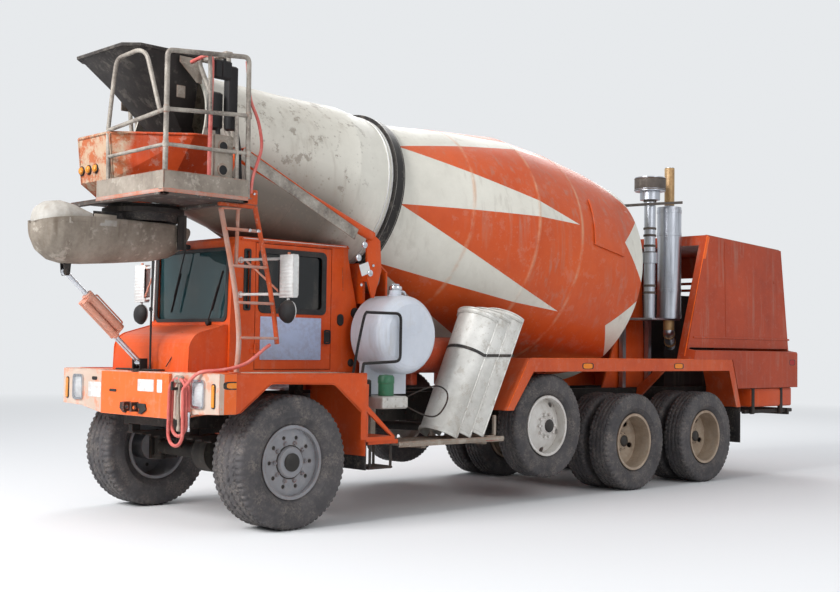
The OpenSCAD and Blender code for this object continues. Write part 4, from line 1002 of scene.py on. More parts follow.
@dataclass(frozen=True)
class Pane(Finish):
    """Clear or tinted glass or lens plastic with a light film of dust."""

    tint: Colour = (0.3, 0.5, 0.5, 1)
    rough: float = 0.04
    clear: float = 0.9
    ribs: float = 0.0

    def dress(self, t: Tree, place: bpy.types.NodeSocket) -> None:
        """Tinted, with wiped dust, and moulded ribs where it is a lamp's lens.

        Args:
            t: The tree that takes the nodes.
            place: Socket with the place in the piece's own mesh.
        """
        wiped = t.span(t.noise(t.stretch(place, (3.0, 3.0, 1.2)), 2.0, 4.0), 0.5, 0.75)
        colour = t.mix(t.math("MULTIPLY", wiped, 0.18), self.tint, ROAD_DUST)
        wave = t.add("ShaderNodeTexWave", {"Vector": place, "Scale": 26.0, "Distortion": 0.2},
                     bands_direction="Z").outputs[1]
        bump = t.add("ShaderNodeBump", {"Height": wave, "Strength": self.ribs, "Distance": 0.003}).outputs[0]
        rough = t.math("ADD", self.rough, t.math("MULTIPLY", wiped, 0.12))
        self.close(t, {"Base Color": colour, "Roughness": rough, "Transmission Weight": self.clear,
                       "IOR": 1.45, "Normal": bump})


SIDE_AMBER, TAIL_RED, BLANK_WHITE = shade(232, 132, 30), shade(168, 26, 20), shade(214, 214, 210)
ORANGE = Coating("Fleet orange paint", "orange_paint", shade(214, 84, 24), shade(190, 66, 14), coat=0.04,
                 dust=0.14, runs=0.22, cement=0.05)
GUARD_PAINT = MarkedPaint("Guard orange paint", "orange_paint", shade(208, 88, 40),
                          shade(184, 68, 26), coat=0.03,
                          dust=0.2, runs=0.35, cement=0.08, marks=(
                              Mark((-3.77, 1.22, 1.325), (0.075, 0.02, 0.026), SIDE_AMBER, 1.25),
                              Mark((-5.4, 1.22, 1.325), (0.075, 0.02, 0.026), SIDE_AMBER, 1.25)))
HOOD_PAINT = MarkedPaint("Hood orange paint", "orange_paint", shade(184, 68, 26),
                         shade(156, 52, 16), coat=0.03,
                         dust=0.2, runs=0.4, cement=0.06, marks=(
                             Mark((-7.9, 1.22, 1.37), (0.06, 0.02, 0.03), TAIL_RED, 1.2),
                             Mark((-8.03, 0.97, 1.36), (0.02, 0.05, 0.05), TAIL_RED, 1.2, 2.0),
                             Mark((-8.03, 1.12, 1.36), (0.02, 0.05, 0.05), SIDE_AMBER, 1.2, 2.0),
                             Mark((-8.03, 0.0, 1.32), (0.02, 0.15, 0.08), BLANK_WHITE, 1.04, 8.0)))
# Fleet orange at its sunlit tone, used on edges as a painted highlight.
SUNLIT_ORANGE = Coating("Orange edge with painted sunlight", "orange_paint", shade(246, 104, 18), shade(228, 86, 12),
                coat=0.06, dust=0.06,
                runs=0.2, cement=0.03)
WORN_ORANGE = Coating("Weathered orange paint", "orange_worn", shade(196, 84, 38), shade(168, 62, 24),
                      under=shade(120, 96, 84), rough=0.6, coat=0.0, chips=0.8, dust=0.45, runs=0.5,
                      cement=0.3, drops=20.0, cloud=1.8, relief=0.3)
COLLECTOR = CollectorPaint("Concrete-worn collector", "orange_worn", shade(200, 74, 24), shade(172, 56, 14),
                           under=shade(120, 96, 84), rough=0.65, coat=0.0, chips=0.8, dust=0.4, runs=0.5,
                           cement=0.3, drops=22.0, cloud=2.4, relief=0.4)
PEELING = Coating("Peeling pale primer", "orange_worn", shade(168, 148, 140), shade(170, 112, 88),
                  under=shade(200, 80, 34), rough=0.6, coat=0.0, chips=1.0, dust=0.3, runs=0.6, cement=0.15,
                  cloud=4.5, relief=0.3)
BUMPER = BumperPaint("Bumper paint", "bumper_white", shade(198, 184, 172), shade(188, 160, 142),
                     under=shade(196, 104, 74), chips=1.0, dust=0.2, runs=0.5,
                     marks=(Mark((0.628, 1.22, 1.172), (0.064, 0.02, 0.021), SIDE_AMBER, 1.5),))
FRAME_BLACK = Coating("Chassis black", "frame_black", shade(31, 29, 29), shade(20, 19, 19),
                      under=RUST, rough=0.65, coat=0.0, chips=0.4, dust=0.22, runs=0.12, cement=0.06)
ENGINE_BLACK = Coating("Oily castings", "frame_black", shade(30, 28, 27), shade(15, 14, 14),
                       under=shade(84, 60, 46), rough=0.5, chips=0.5, dust=0.15, runs=0.2, cement=0.0)
TRIM = Coating("Moulded cab trim", "cab_trim", shade(38, 37, 38), shade(26, 25, 26), rough=0.65,
               coat=0.0, chips=0.1, dust=0.2, runs=0.0, cement=0.0, relief=0.4)
ROLLER = Metal("Roller steel", "roller_steel", shade(150, 146, 140), shade(96, 92, 88), rough=0.3)
DRUM = DrumPaint("Drum stripes", "drum_paint", shade(222, 219, 208), shade(206, 203, 192),
                 under=shade(150, 140, 128), rough=0.45, coat=0.1, chips=0.3, dust=0.2, runs=0.4,
                 cement=0.1, drops=18.0)
FLAP_RUBBER = Rubber("Flap rubber", "dark_rubber", film=0.5)
SEAL_RUBBER = Rubber("Seal rubber", "dark_rubber", film=0.12)
GALVANISED = Coating("Splashed galvanised steel", "grey_steel", shade(164, 154, 142), shade(122, 112, 102),
                     under=shade(150, 78, 44), dirt=shade(172, 160, 144), rough=0.65, metal=0.15, coat=0.0,
                     chips=0.8, dust=0.5, runs=0.5, cement=0.5, drops=22.0, cloud=2.6, relief=0.4)
RAIL_STEEL = Coating("Dull rail steel", "grey_steel", shade(176, 170, 160), shade(104, 96, 90),
                     under=shade(150, 78, 44), rough=0.6, metal=0.3, coat=0.0, chips=0.7, dust=0.3, runs=0.5,
                     cement=0.35, drops=30.0, cloud=5.0, relief=0.3)
DECK_STEEL = Coating("Crusted deck steel", "grey_steel", shade(84, 78, 74), shade(54, 50, 48), under=RUST,
                     dirt=shade(128, 120, 110), rough=0.75, coat=0.0, chips=0.6, dust=0.5,
                     runs=0.4, cement=0.3)
HOPPER = Coating("Concrete-worn hopper plate", "dark_rubber", shade(66, 62, 60), shade(46, 43, 42),
                 under=shade(104, 92, 82), dirt=shade(112, 104, 96), rough=0.7, metal=0.2, coat=0.0,
                 chips=0.5, dust=0.2, runs=0.5, cement=0.12, drops=16.0, cloud=2.0, relief=0.3)
TANK = Coating("Tank white", "tank_white", shade(218, 223, 231), shade(200, 206, 216),
               under=shade(120, 110, 104), rough=0.28, coat=0.3, chips=0.3, dust=0.18, runs=0.5)
SPARE = Coating("Splashed pale aluminium", "pale_aluminium", shade(222, 221, 216), shade(188, 186, 180),
                under=shade(120, 116, 110), rough=0.5, metal=0.3, coat=0.0, chips=0.4, dust=0.35, runs=0.7,
                cement=0.45, drops=30.0, cloud=2.2)
MIRROR_SHELL = Coating("Mirror housing", "mirror_housing", shade(220, 220, 218), shade(176, 176, 174),
                       rough=0.3, chips=0.5, dust=0.2, runs=0.5, cement=0.05, cloud=3.0)
SILENCER = Metal("Silencer steel", "silencer_steel", shade(192, 196, 204), shade(150, 153, 160),
                 shade(120, 96, 74), 0.22, 0.25, (16.0, 16.0, 1.0))
STACK = Coating("Heat-tanned pipe", "silencer_steel", shade(196, 164, 118), shade(160, 126, 86),
                under=shade(110, 72, 46), rough=0.5, metal=0.4, coat=0.0, chips=0.6, dust=0.1, runs=0.6,
                cement=0.0, cloud=5.0)
CAP_STEEL = Coating("Dull rain cap steel", "silencer_steel", shade(104, 96, 90), shade(70, 64, 60),
                    under=shade(120, 76, 50), rough=0.6, metal=0.3, coat=0.0, dust=0.3, runs=0.4, cement=0.1)
BRIGHT = Metal("Bright plated metal", "rod_chrome", shade(222, 224, 228), shade(180, 182, 188),
               RUST, 0.1, 0.1)
CHUTE = Coating("Concrete-crusted chute", "crusted_steel", shade(150, 141, 129), shade(112, 102, 91),
                under=shade(86, 74, 64), dirt=shade(104, 92, 80), rough=0.8, coat=0.0, chips=0.7, dust=0.4,
                runs=0.8, cement=0.5, drops=14.0, cloud=3.0, relief=0.6)
# Pale chute finish: concrete crust, lightened further by painted sunlight on the dome and the rim's top.
SUNLIT_CRUST_CHUTE = Coating("Chute crust with painted sunlight", "crusted_steel", shade(178, 175, 169), shade(146, 139, 130),
                     under=shade(110, 100, 90), dirt=shade(150, 142, 132), rough=0.8, coat=0.0, chips=0.6,
                     dust=0.4, runs=0.6, cement=0.6, drops=16.0, cloud=3.5, relief=0.6)
BARREL = Coating("Sun-bleached orange", "orange_worn", shade(206, 158, 140), shade(196, 110, 74),
                 under=shade(206, 84, 44), rough=0.5, chips=0.9, dust=0.2, runs=0.6, cement=0.1)
FRONT_DISC = Coating("Grey wheel paint", "disc_grey", shade(140, 142, 148), shade(112, 113, 118),
                     under=RUST, rough=0.5, chips=0.7, dust=0.35, runs=0.3, cement=0.1)
WHITE_DISC = Coating("White wheel paint", "disc_white", shade(220, 218, 214), shade(190, 184, 176),
                     under=RUST, rough=0.5, chips=0.8, dust=0.35, runs=0.4)
TAN_DISC = Coating("Stained wheel paint", "disc_white", shade(180, 162, 142), shade(142, 122, 102),
                   under=RUST, rough=0.6, chips=0.8, dust=0.4, runs=0.6, cement=0.2, cloud=4.0)
TYRE = Rubber("Tyre rubber", "tyre", shade(86, 83, 84), shade(60, 58, 60), shade(146, 136, 126), 0.5)
# Window glass darkened as painted shade of the hollow cab's interior: the side windows almost black, the
# windscreen partly, over its own teal tint.
WINDOW = Pane("Tinted window with painted cab shade", "glass", shade(44, 74, 78), 0.03, 0.42)
SIDE_WINDOW = Pane("Side window darkened as painted cab shade", "glass", shade(14, 18, 20), 0.03, 0.12)
LENS = Pane("Headlamp lens", "glass", shade(236, 238, 240), 0.06, 0.55, 0.5)
AMBER = Pane("Amber lens", "orange_paint", shade(240, 150, 40), 0.15, 0.25, 0.5)
RED = Pane("Red lens", "orange_paint", shade(190, 30, 24), 0.15, 0.35, 0.5)
GREEN_CAP = Coating("Green filler cap", "tank_white", shade(52, 118, 84), shade(36, 92, 66),
                    rough=0.4, chips=0.3,
                    dust=0.3, runs=0.2, cement=0.05)
HOSE = Rubber("Faded red hose", "hose_rubber", shade(204, 108, 100), shade(178, 76, 70),
              shade(214, 180, 168), 0.4, 0.6)
BLANK = Coating("Blank white sheet", "mirror_housing", shade(228, 228, 226), shade(210, 210, 208), rough=0.35,
                chips=0.3, dust=0.12, runs=0.3, cement=0.0)
BLUE_SHEET = Coating("Blank door sheet", "mirror_housing", shade(172, 184, 212), shade(160, 172, 200),
                     rough=0.3, chips=0.2, dust=0.1, runs=0.3, cement=0.0)
SECOND_TANK = Coating("Faded tank orange", "orange_worn", shade(196, 82, 46), shade(172, 62, 34),
                      dust=0.7, runs=0.5)

FINISHED_NODES: dict[Finish, tuple[str, ...]] = {
    FRAME_BLACK: ("chassis_frame", "front_axle", "lift_axle", "drive_axles", "knuckle_left", "knuckle_right",
                  "cylinder_foot", "hose_hook"),
    ORANGE: ("front_deck", "cab_shell", "door_left", "door_right", "front_pedestal", "rear_pedestal"),
    BUMPER: ("front_bumper",), WINDOW: ("cab_glass",), SIDE_WINDOW: ("door_glass_left", "door_glass_right"),
    TRIM: ("cab_fittings",), ROLLER: ("roller_left", "roller_right"), DRUM: ("drum_shell",),
    COLLECTOR: ("discharge_funnel",), TANK: ("side_tanks",), GUARD_PAINT: ("rear_guards",),
    GALVANISED: ("side_steps",), SPARE: ("extension_chutes",), FLAP_RUBBER: ("mudflaps",),
    MIRROR_SHELL: ("mirrors",), HOOD_PAINT: ("engine_hood",), ENGINE_BLACK: ("engine_block",),
    SILENCER: ("exhaust", "air_intake"), HOPPER: ("chute_swivel",), CHUTE: ("main_chute",),
    SUNLIT_CRUST_CHUTE: ("fold_chute",), BRIGHT: ("cylinder_rods", "cylinder_upper_rod"),
    BARREL: ("cylinder_barrels",),
    FRONT_DISC: ("rim_front_left", "rim_front_right"), WHITE_DISC: ("rim_lift_left", "rim_lift_right"),
    TAN_DISC: ("rims_drive1_left", "rims_drive1_right", "rims_drive2_left", "rims_drive2_right"),
}
NODE_FINISH = {node: finish for finish, nodes in FINISHED_NODES.items() for node in nodes}


class Side(Enum):
    """The two sides of the truck: the name that bodies carry, and the sign of Y."""

    LEFT = ("left", 1.0)
    RIGHT = ("right", -1.0)

    @property
    def label(self) -> str:
        """Name used in body and node names."""
        return self.value[0]

    @property
    def sign(self) -> float:
        """Sign of Y on this side."""
        return self.value[1]

    @property
    def out(self) -> Triple:
        """Direction away from the truck's middle."""
        return (0, self.sign, 0)


class Tread(Enum):
    """Tread patterns: how many blocks go round, and how deep the shoulder notches are."""

    STEER = (64, 0.01)
    DRIVE = (56, 0.012)


# Sub-assemblies


@dataclass
class Studio:
    """Camera at the photograph's angle, soft lamps, and a plain pale floor."""

    eye: Triple = (6.19 + AXLE_X, 9.01, 1.48)
    yaw: float = -134.11
    pitch: float = 2.46
    roll: float = 0.81
    focal_px: float = 1222.7
    frame_px: float = 840.0
    floor_half: float = 90.0

    def camera(self) -> None:
        """Places the camera: forwards from yaw and pitch, then the frame turned by roll."""
        yaw, pitch, roll = (math.radians(v) for v in (self.yaw, self.pitch, self.roll))
        ahead = np.array([math.cos(pitch) * math.cos(yaw), math.cos(pitch) * math.sin(yaw), math.sin(pitch)])
        right = unit(np.cross(ahead, SKY))
        up = np.cross(right, ahead)
        right, up = (right * math.cos(roll) + up * math.sin(roll),
                     -right * math.sin(roll) + up * math.cos(roll))
        data = bpy.data.cameras.new("Photo camera")
        data.sensor_width = 36.0
        data.sensor_fit = "HORIZONTAL"
        data.lens = self.focal_px * 36.0 / self.frame_px
        data.clip_end = 400.0
        obj = bpy.data.objects.new("Photo camera", data)
        rows = [[right[k], up[k], -ahead[k], self.eye[k]] for k in range(3)]
        obj.matrix_world = Matrix(rows + [[0, 0, 0, 1]])
        bpy.context.scene.collection.objects.link(obj)
        bpy.context.scene.camera = obj

    def lamp(self, name: str, place: Triple, target: Triple, size: float, power: float) -> None:
        """Adds a square soft lamp that looks at a target.

        Args:
            name: The lamp's name.
            place: Where it hangs.
            target: What it looks at.
            size: Length of its side.
            power: Watts.
        """
        data = bpy.data.lights.new(name, "AREA")
        data.size, data.energy = size, power
        obj = bpy.data.objects.new(name, data)
        back = unit(np.subtract(place, target))
        u, v = square_to(back)
        obj.matrix_world = Matrix([[u[k], v[k], back[k], place[k]] for k in range(3)] + [[0, 0, 0, 1]])
        bpy.context.scene.collection.objects.link(obj)

    def lights(self) -> None:
        """One broad key lamp ahead and above, two weaker ones, and an even pale world."""
        self.lamp("Key", (15.0, 0.0, 10.0), (0.5, 0.0, 1.5), 7.0, 2900.0)
        self.lamp("Side fill", (1.0, 16.0, 9.0), (0.0, 0.0, 1.5), 9.0, 620.0)
        self.lamp("Far fill", (-12.0, -9.0, 11.0), (0.0, 0.0, 1.5), 9.0, 1100.0)
        world = bpy.data.worlds.new("Pale room")
        bpy.context.scene.world = world
        world.use_nodes = True
        t = Tree(world.node_tree)
        world.node_tree.nodes.clear()
        path = t.add("ShaderNodeLightPath")
        seen = t.math("MAXIMUM", path.outputs["Is Camera Ray"],
                      t.math("MAXIMUM", path.outputs["Is Glossy Ray"], path.outputs["Is Transmission Ray"]))
        light = t.add("ShaderNodeBackground", {"Color": (0.84, 0.86, 0.9, 1), "Strength": 0.6})
        back = t.add("ShaderNodeBackground", {"Color": BACKDROP, "Strength": 1.0})
        mixed = t.add("ShaderNodeMixShader", {0: seen, 1: light.outputs[0], 2: back.outputs[0]})
        t.add("ShaderNodeOutputWorld", {"Surface": mixed.outputs[0]})
        bpy.context.scene.view_settings.view_transform = "Standard"

    def floor(self) -> None:
        """A plain pale floor that takes the backdrop's colour far from the truck."""
        h = self.floor_half
        mesh = bpy.data.meshes.new("Floor")
        mesh.from_pydata([(-h, -h, 0), (h, -h, 0), (h, h, 0), (-h, h, 0)], [], [[0, 1, 2, 3]])
        made = bpy.data.materials.new("Pale floor")
        made.use_nodes = True
        t = Tree(made.node_tree)
        made.node_tree.nodes.clear()
        near = t.add("ShaderNodeBsdfPrincipled", {"Base Color": (0.72, 0.73, 0.74, 1), "Roughness": 0.9})
        away = t.add("ShaderNodeEmission", {"Color": BACKDROP})
        reach = t.add("ShaderNodeVectorMath", {0: t.add("ShaderNodeTexCoord").outputs["Object"]},
                      operation="LENGTH")
        share = t.math("MULTIPLY", t.span(reach.outputs["Value"], 8.0, 26.0),
                       t.add("ShaderNodeLightPath").outputs["Is Camera Ray"])
        mixed = t.add("ShaderNodeMixShader", {0: share, 1: near.outputs[0], 2: away.outputs[0]})
        t.add("ShaderNodeOutputMaterial", {"Surface": mixed.outputs[0]})
        mesh.materials.append(made)
        obj = bpy.data.objects.new("Floor", mesh)
        bpy.context.scene.collection.objects.link(obj)
        obj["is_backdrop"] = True

    def build(self) -> None:
        """Camera, lamps and floor."""
        self.camera()
        self.lights()
        self.floor()


@dataclass
class WaterHose:
    """Wash-down hose from the ladder's outlet to turns hung on the bumper hook."""

    diameter: float = 0.028
    turns: float = 2.0
    radius: float = 0.1105
    middle_y: float = 0.735
    top_z: float = 1.107
    low_z: tuple[float, float] = (0.797, 0.872)
    first_x: float = 0.842
    pitch: float = 0.0283
    route: tuple[Triple, ...] = (
        (0.162, 1.052, 1.492), (0.225, 1.066, 1.46), (0.3, 1.078, 1.412), (0.4, 1.09, 1.352),
        (0.5, 1.086, 1.316), (0.6, 1.074, 1.295), (0.69, 1.05, 1.284), (0.74, 1.022, 1.281),
        (0.778, 0.985, 1.27), (0.804, 0.94, 1.24), (0.824, 0.895, 1.19))

    def path(self) -> np.ndarray:
        """Route, then flat-sided turns whose X falls by one pitch a turn.

        A turn is a straight run down, a half circle, a straight run up and a half circle. The
        second turn's lower end is higher, as a shorter loop hangs.

        Returns:
            Points of the middle line as (n, 3).
        """
        parts = []
        for k in range(int(self.turns)):
            low = self.low_z[k]
            run = np.linspace(0, 1, 8, endpoint=False)
            arc = np.linspace(0, math.pi, 16, endpoint=False)
            down = np.stack([np.full(8, self.radius), self.top_z + (low - self.top_z) * run], -1)
            under = np.stack([self.radius * np.cos(arc), low - self.radius * np.sin(arc)], -1)
            rise = np.stack([np.full(8, -self.radius), low + (self.top_z - low) * run], -1)
            over = np.stack([-self.radius * np.cos(arc), self.top_z + self.radius * np.sin(arc)], -1)
            loop = np.concatenate([down, under, rise, over])
            x = self.first_x - self.pitch * (k + np.arange(len(loop)) / len(loop))
            parts.append(np.column_stack([x, self.middle_y + loop[:, 0], loop[:, 1]]))
        last_x = self.first_x - self.pitch * self.turns
        tail = np.array([[last_x, self.middle_y + self.radius, self.top_z - 0.03 * k] for k in range(6)])
        coil = np.concatenate(parts + [tail])
        lead = flow(self.route + (tuple(coil[0] + (-0.001, 0.004, 0.034)),), 4)
        return np.concatenate([lead, coil])

    def build(self) -> None:
        """The hose itself, its nozzle and the two wands that hang on the same hook."""
        path = self.path()
        hose = Skin().tube(path, self.diameter / 2, 12).piece("water_hose", HOSE, "truck",
                                                              ("hose_run", "hose_coil"))
        end = path[-1]
        nozzle = Skin().lathe([(0.01, 0.0), (0.017, 0.002), (0.018, 0.03), (0.013, 0.04), (0.012, 0.12),
                               (0.016, 0.13), (0.016, 0.15), (0.008, 0.155)], tuple(end), (0, 0, -1), 20)
        made = nozzle.piece("hose_nozzle", BRIGHT)
        wands = Skin()
        for y, drop, lean in ((0.712, 0.36, 0.02), (0.76, 0.27, -0.015)):
            top = (0.806, y, 1.2)
            wands.tube(flow([top, (0.812, y + lean, 1.12), (0.812, y + lean * 2, 1.2 - drop)], 6), 0.013, 10)
            wands.lathe([(0.012, 0), (0.027, 0.004), (0.027, 0.05), (0.014, 0.06)],
                        (top[0], y, 1.18), SKY, 16)
            wands.lathe([(0.01, 0), (0.02, 0.004), (0.02, 0.03), (0.012, 0.05)],
                        (0.812, y + lean * 2, 1.2 - drop - 0.04), SKY, 14)
        wands.piece("hung_wash_wands", GALVANISED)


@dataclass(frozen=True)
class WheelPlace:
    """Middle of a wheel body on the left side, and the radius, width and shoulder of its tyres."""

    name: str
    x: float
    y: float
    z: float
    radius: float = 0.515
    width: float = 0.272
    bulge: float = 0.01

    def middle(self, side: Side, offset: float = 0.0) -> Triple:
        """Middle on a side, moved outwards by offset."""
        return (self.x, side.sign * (self.y + offset), self.z)


@dataclass
class Wheels:
    """Tyres with cut tread, wheel nuts and hub faces on the eight wheel bodies."""

    front: WheelPlace = WheelPlace("front", 0.0, 1.005, 0.545, 0.545, 0.41, 0.012)
    lift: WheelPlace = WheelPlace("lift", -3.24, 1.03, 0.73)
    drives: tuple[WheelPlace, ...] = (WheelPlace("drive1", -4.63, 0.9085, 0.515),
                                      WheelPlace("drive2", -6.0, 0.9085, 0.515))
    twin_offset: float = 0.1675
    bead: float = 0.286
    columns: int = 288
    front_nuts: int = 10
    hand_holes: int = 10
    hole_ring: float = 0.205

    def section(self, radius: float, width: float, bulge: float) -> np.ndarray:
        """Half section of a tyre from the bead to the tread's middle.

        Args:
            radius: Radius over the tread.
            width: Width between the side walls.
            bulge: How far the walls stand out past the tread.

        Returns:
            Points of (radius, side).
        """
        wall = radius - self.bead
        half = width / 2
        flat = half - bulge
        points = [(self.bead, half - 0.062), (self.bead + 0.012, half - 0.056),
                  (self.bead + 0.03, half - 0.044),
                  (self.bead + wall * 0.16, half - 0.028), (self.bead + wall * 0.3, half - 0.009),
                  (self.bead + wall * 0.315, half - 0.004), (self.bead + wall * 0.4, half - 0.001),
                  (self.bead + wall * 0.56, half), (self.bead + wall * 0.6, half - 0.003),
                  (self.bead + wall * 0.74, half - 0.006), (radius - 0.034, flat + 0.005),
                  (radius - 0.018, flat - 0.002), (radius - 0.006, flat - 0.012),
                  (radius - 0.001, flat - 0.026)]
        across = np.linspace(flat - 0.034, 0, 18)
        return np.array(points + [(radius, y) for y in across])

    def tyre(self, skin: Skin, place: WheelPlace, centre: Triple, tread: Tread) -> None:
        """Adds one tyre: the section turned about Y, with grooves cut out of its radius.

        A groove is cut where the distance to a zigzag line of constant mean Y is under its half
        width. Shoulder notches are cut where the angle, in blocks, has a fraction under a third.

        Args:
            skin: The skin that takes the tyre.
            place: The wheel body, for the tyre's sizes.
            centre: Middle of the tyre.
            tread: Its pattern.
        """
        radius, width, bulge = place.radius, place.width, place.bulge
        half = self.section(radius, width, bulge)
        full = np.vstack([half, half[-2::-1] * (1, -1)])
        bottom = np.array([(self.bead, -width / 2 + 0.062), (self.bead, width / 2 - 0.062)])
        ring = np.vstack([full, bottom * (1, 0.98)])
        angle = np.arange(self.columns) * 2 * math.pi / self.columns
        blocks, notch = tread.value
        r = np.broadcast_to(ring[:, 0], (self.columns, len(ring))).copy()
        y = np.broadcast_to(ring[:, 1], r.shape)
        flat = width / 2 - bulge
        phase = np.abs((angle * blocks / 2 / math.pi) % 1 - 0.5)[:, None] * 2
        on_top = (r > radius - 0.02)
        for line in (0.6, 0.2, -0.2, -0.6):
            zig = flat * (line + 0.05 * (phase - 0.5) * 2)
            r -= np.where(on_top & (np.abs(y - zig) < 0.0075), 0.013, 0.0)
        cut = (phase < 0.36) & (np.abs(y) > flat * 0.7) & (r > radius - 0.04)
        r -= np.where(cut, notch, 0.0)
        sipe = (np.abs(phase - 0.85) < 0.12) & (np.abs(y) < flat * 0.55) & (r > radius - 0.005)
        r -= np.where(sipe, 0.004, 0.0)
        rows = np.stack([centre[0] + r * np.sin(angle)[:, None], centre[1] + y,
                         centre[2] + r * np.cos(angle)[:, None]], -1)
        skin.shell(rows, True)

    def nuts(self, skin: Skin, centre: Triple, face: float, ring: float, count: int, size: float,
             sign: float) -> None:
        """Adds a ring of hexagon nuts with their washers and stud ends.

        Args:
            skin: The skin that takes them.
            centre: Middle of the wheel body.
            face: How far out the nuts' seat is from the middle.
            ring: Radius of the ring.
            count: How many.
            size: Size across the flats.
            sign: Sign of Y that they face.
        """
        for k in range(count):
            a = (k + 0.5) * 2 * math.pi / count
            at = (centre[0] + ring * math.sin(a), centre[1] + sign * face, centre[2] + ring * math.cos(a))
            axis = (0, sign, 0)
            u, v = square_to(axis)
            skin.lathe([(size * 0.5, -0.001), (size * 0.72, 0.0), (size * 0.72, 0.004), (size * 0.5, 0.005)],
                       at, axis, 12)
            skin.prism(circle(size * 0.577, 6), at, u, v, size * 0.75, size * 0.12)
            skin.lathe([(size * 0.24, 0.0), (size * 0.27, size * 0.9), (size * 0.2, size * 1.05)], at, axis,
                       8)

    def build(self) -> None:
        """All eight wheel bodies."""
        for side in Side:
            self.steered(side)
            self.lifted(side)
            for place in self.drives:
                self.twin(place, side)

    def steered(self, side: Side) -> None:
        """Front wheel's cut tyre, its nuts, the dark cap of its disc, and painted shade in the disc's groove
        and hand holes.

        Args:
            side: The side of the truck.
        """
        middle, body = self.front.middle(side), f"wheel_front_{side.label}"
        skin, nuts, dark = Skin(), Skin(), Skin()
        self.tyre(skin, self.front, middle, Tread.STEER)
        skin.piece(f"tyre_front_{side.label}_cut", TYRE, body, (f"tyre_front_{side.label}",))
        self.nuts(nuts, middle, 0.128, 0.157, self.front_nuts, 0.03, side.sign)
        nuts.piece(f"hub_nuts_front_{side.label}", FRONT_DISC, body)
        dark.lathe([(0.02, 0.1535), (0.06, 0.156), (0.072, 0.154), (0.074, 0.166), (0.058, 0.176),
                    (0.01, 0.178)],
                   middle, side.out, 40)
        # Dark ring in the disc's groove: painted shade.
        dark.lathe([(0.1285, 0.1275), (0.1285, 0.1305), (0.138, 0.1305), (0.138, 0.1275)], middle,
                   side.out, 64, True)
        # Dark plugs in the hand holes: painted shade of the holes.
        for k in range(self.hand_holes):
            a = k * 2 * math.pi / self.hand_holes
            dark.lathe([(0.001, 0.112), (0.0165, 0.1125), (0.0165, 0.12), (0.001, 0.1205)],
                       (self.hole_ring * math.cos(a), middle[1], middle[2] + self.hole_ring * math.sin(a)),
                       side.out, 18)
        dark.piece(f"hub_dark_front_{side.label}", ENGINE_BLACK, body)

    def lifted(self, side: Side) -> None:
        """Lifted wheel's cut tyre, hub bolts and cap.

        Args:
            side: The side of the truck.
        """
        middle, body = self.lift.middle(side), f"wheel_lift_{side.label}"
        skin, hub = Skin(), Skin()
        self.tyre(skin, self.lift, middle, Tread.STEER)
        skin.piece(f"tyre_lift_{side.label}_cut", TYRE, body, (f"tyre_lift_{side.label}",))
        self.nuts(hub, middle, 0.0965, 0.083, 6, 0.014, side.sign)
        hub.piece(f"hub_bolts_lift_{side.label}", WHITE_DISC, body)
        cap = Skin().lathe([(0.03, 0.119), (0.064, 0.1205), (0.066, 0.128), (0.052, 0.138), (0.01, 0.14)],
                           middle, side.out, 36)
        cap.piece(f"hub_cap_lift_{side.label}", ENGINE_BLACK, body)

    def twin(self, place: WheelPlace, side: Side) -> None:
        """Cut twin tyres of a driven wheel, with the flange's bolts and cap.

        Args:
            place: The wheel body.
            side: The side of the truck.
        """
        name, body = f"{place.name}_{side.label}", f"wheel_{place.name}_{side.label}"
        tyres, flange = Skin(), Skin()
        for offset in (self.twin_offset, -self.twin_offset):
            self.tyre(tyres, place, place.middle(side, offset), Tread.DRIVE)
        tyres.piece(f"tyres_{name}_cut", TYRE, body, (f"tyres_{name}",))
        self.nuts(flange, place.middle(side), 0.1125, 0.083, 8, 0.012, side.sign)
        flange.lathe([(0.02, 0.1295), (0.06, 0.1305), (0.062, 0.14), (0.05, 0.15), (0.01, 0.152)],
                     place.middle(side), side.out, 36)
        flange.piece(f"hub_bolts_{name}", ENGINE_BLACK, body)


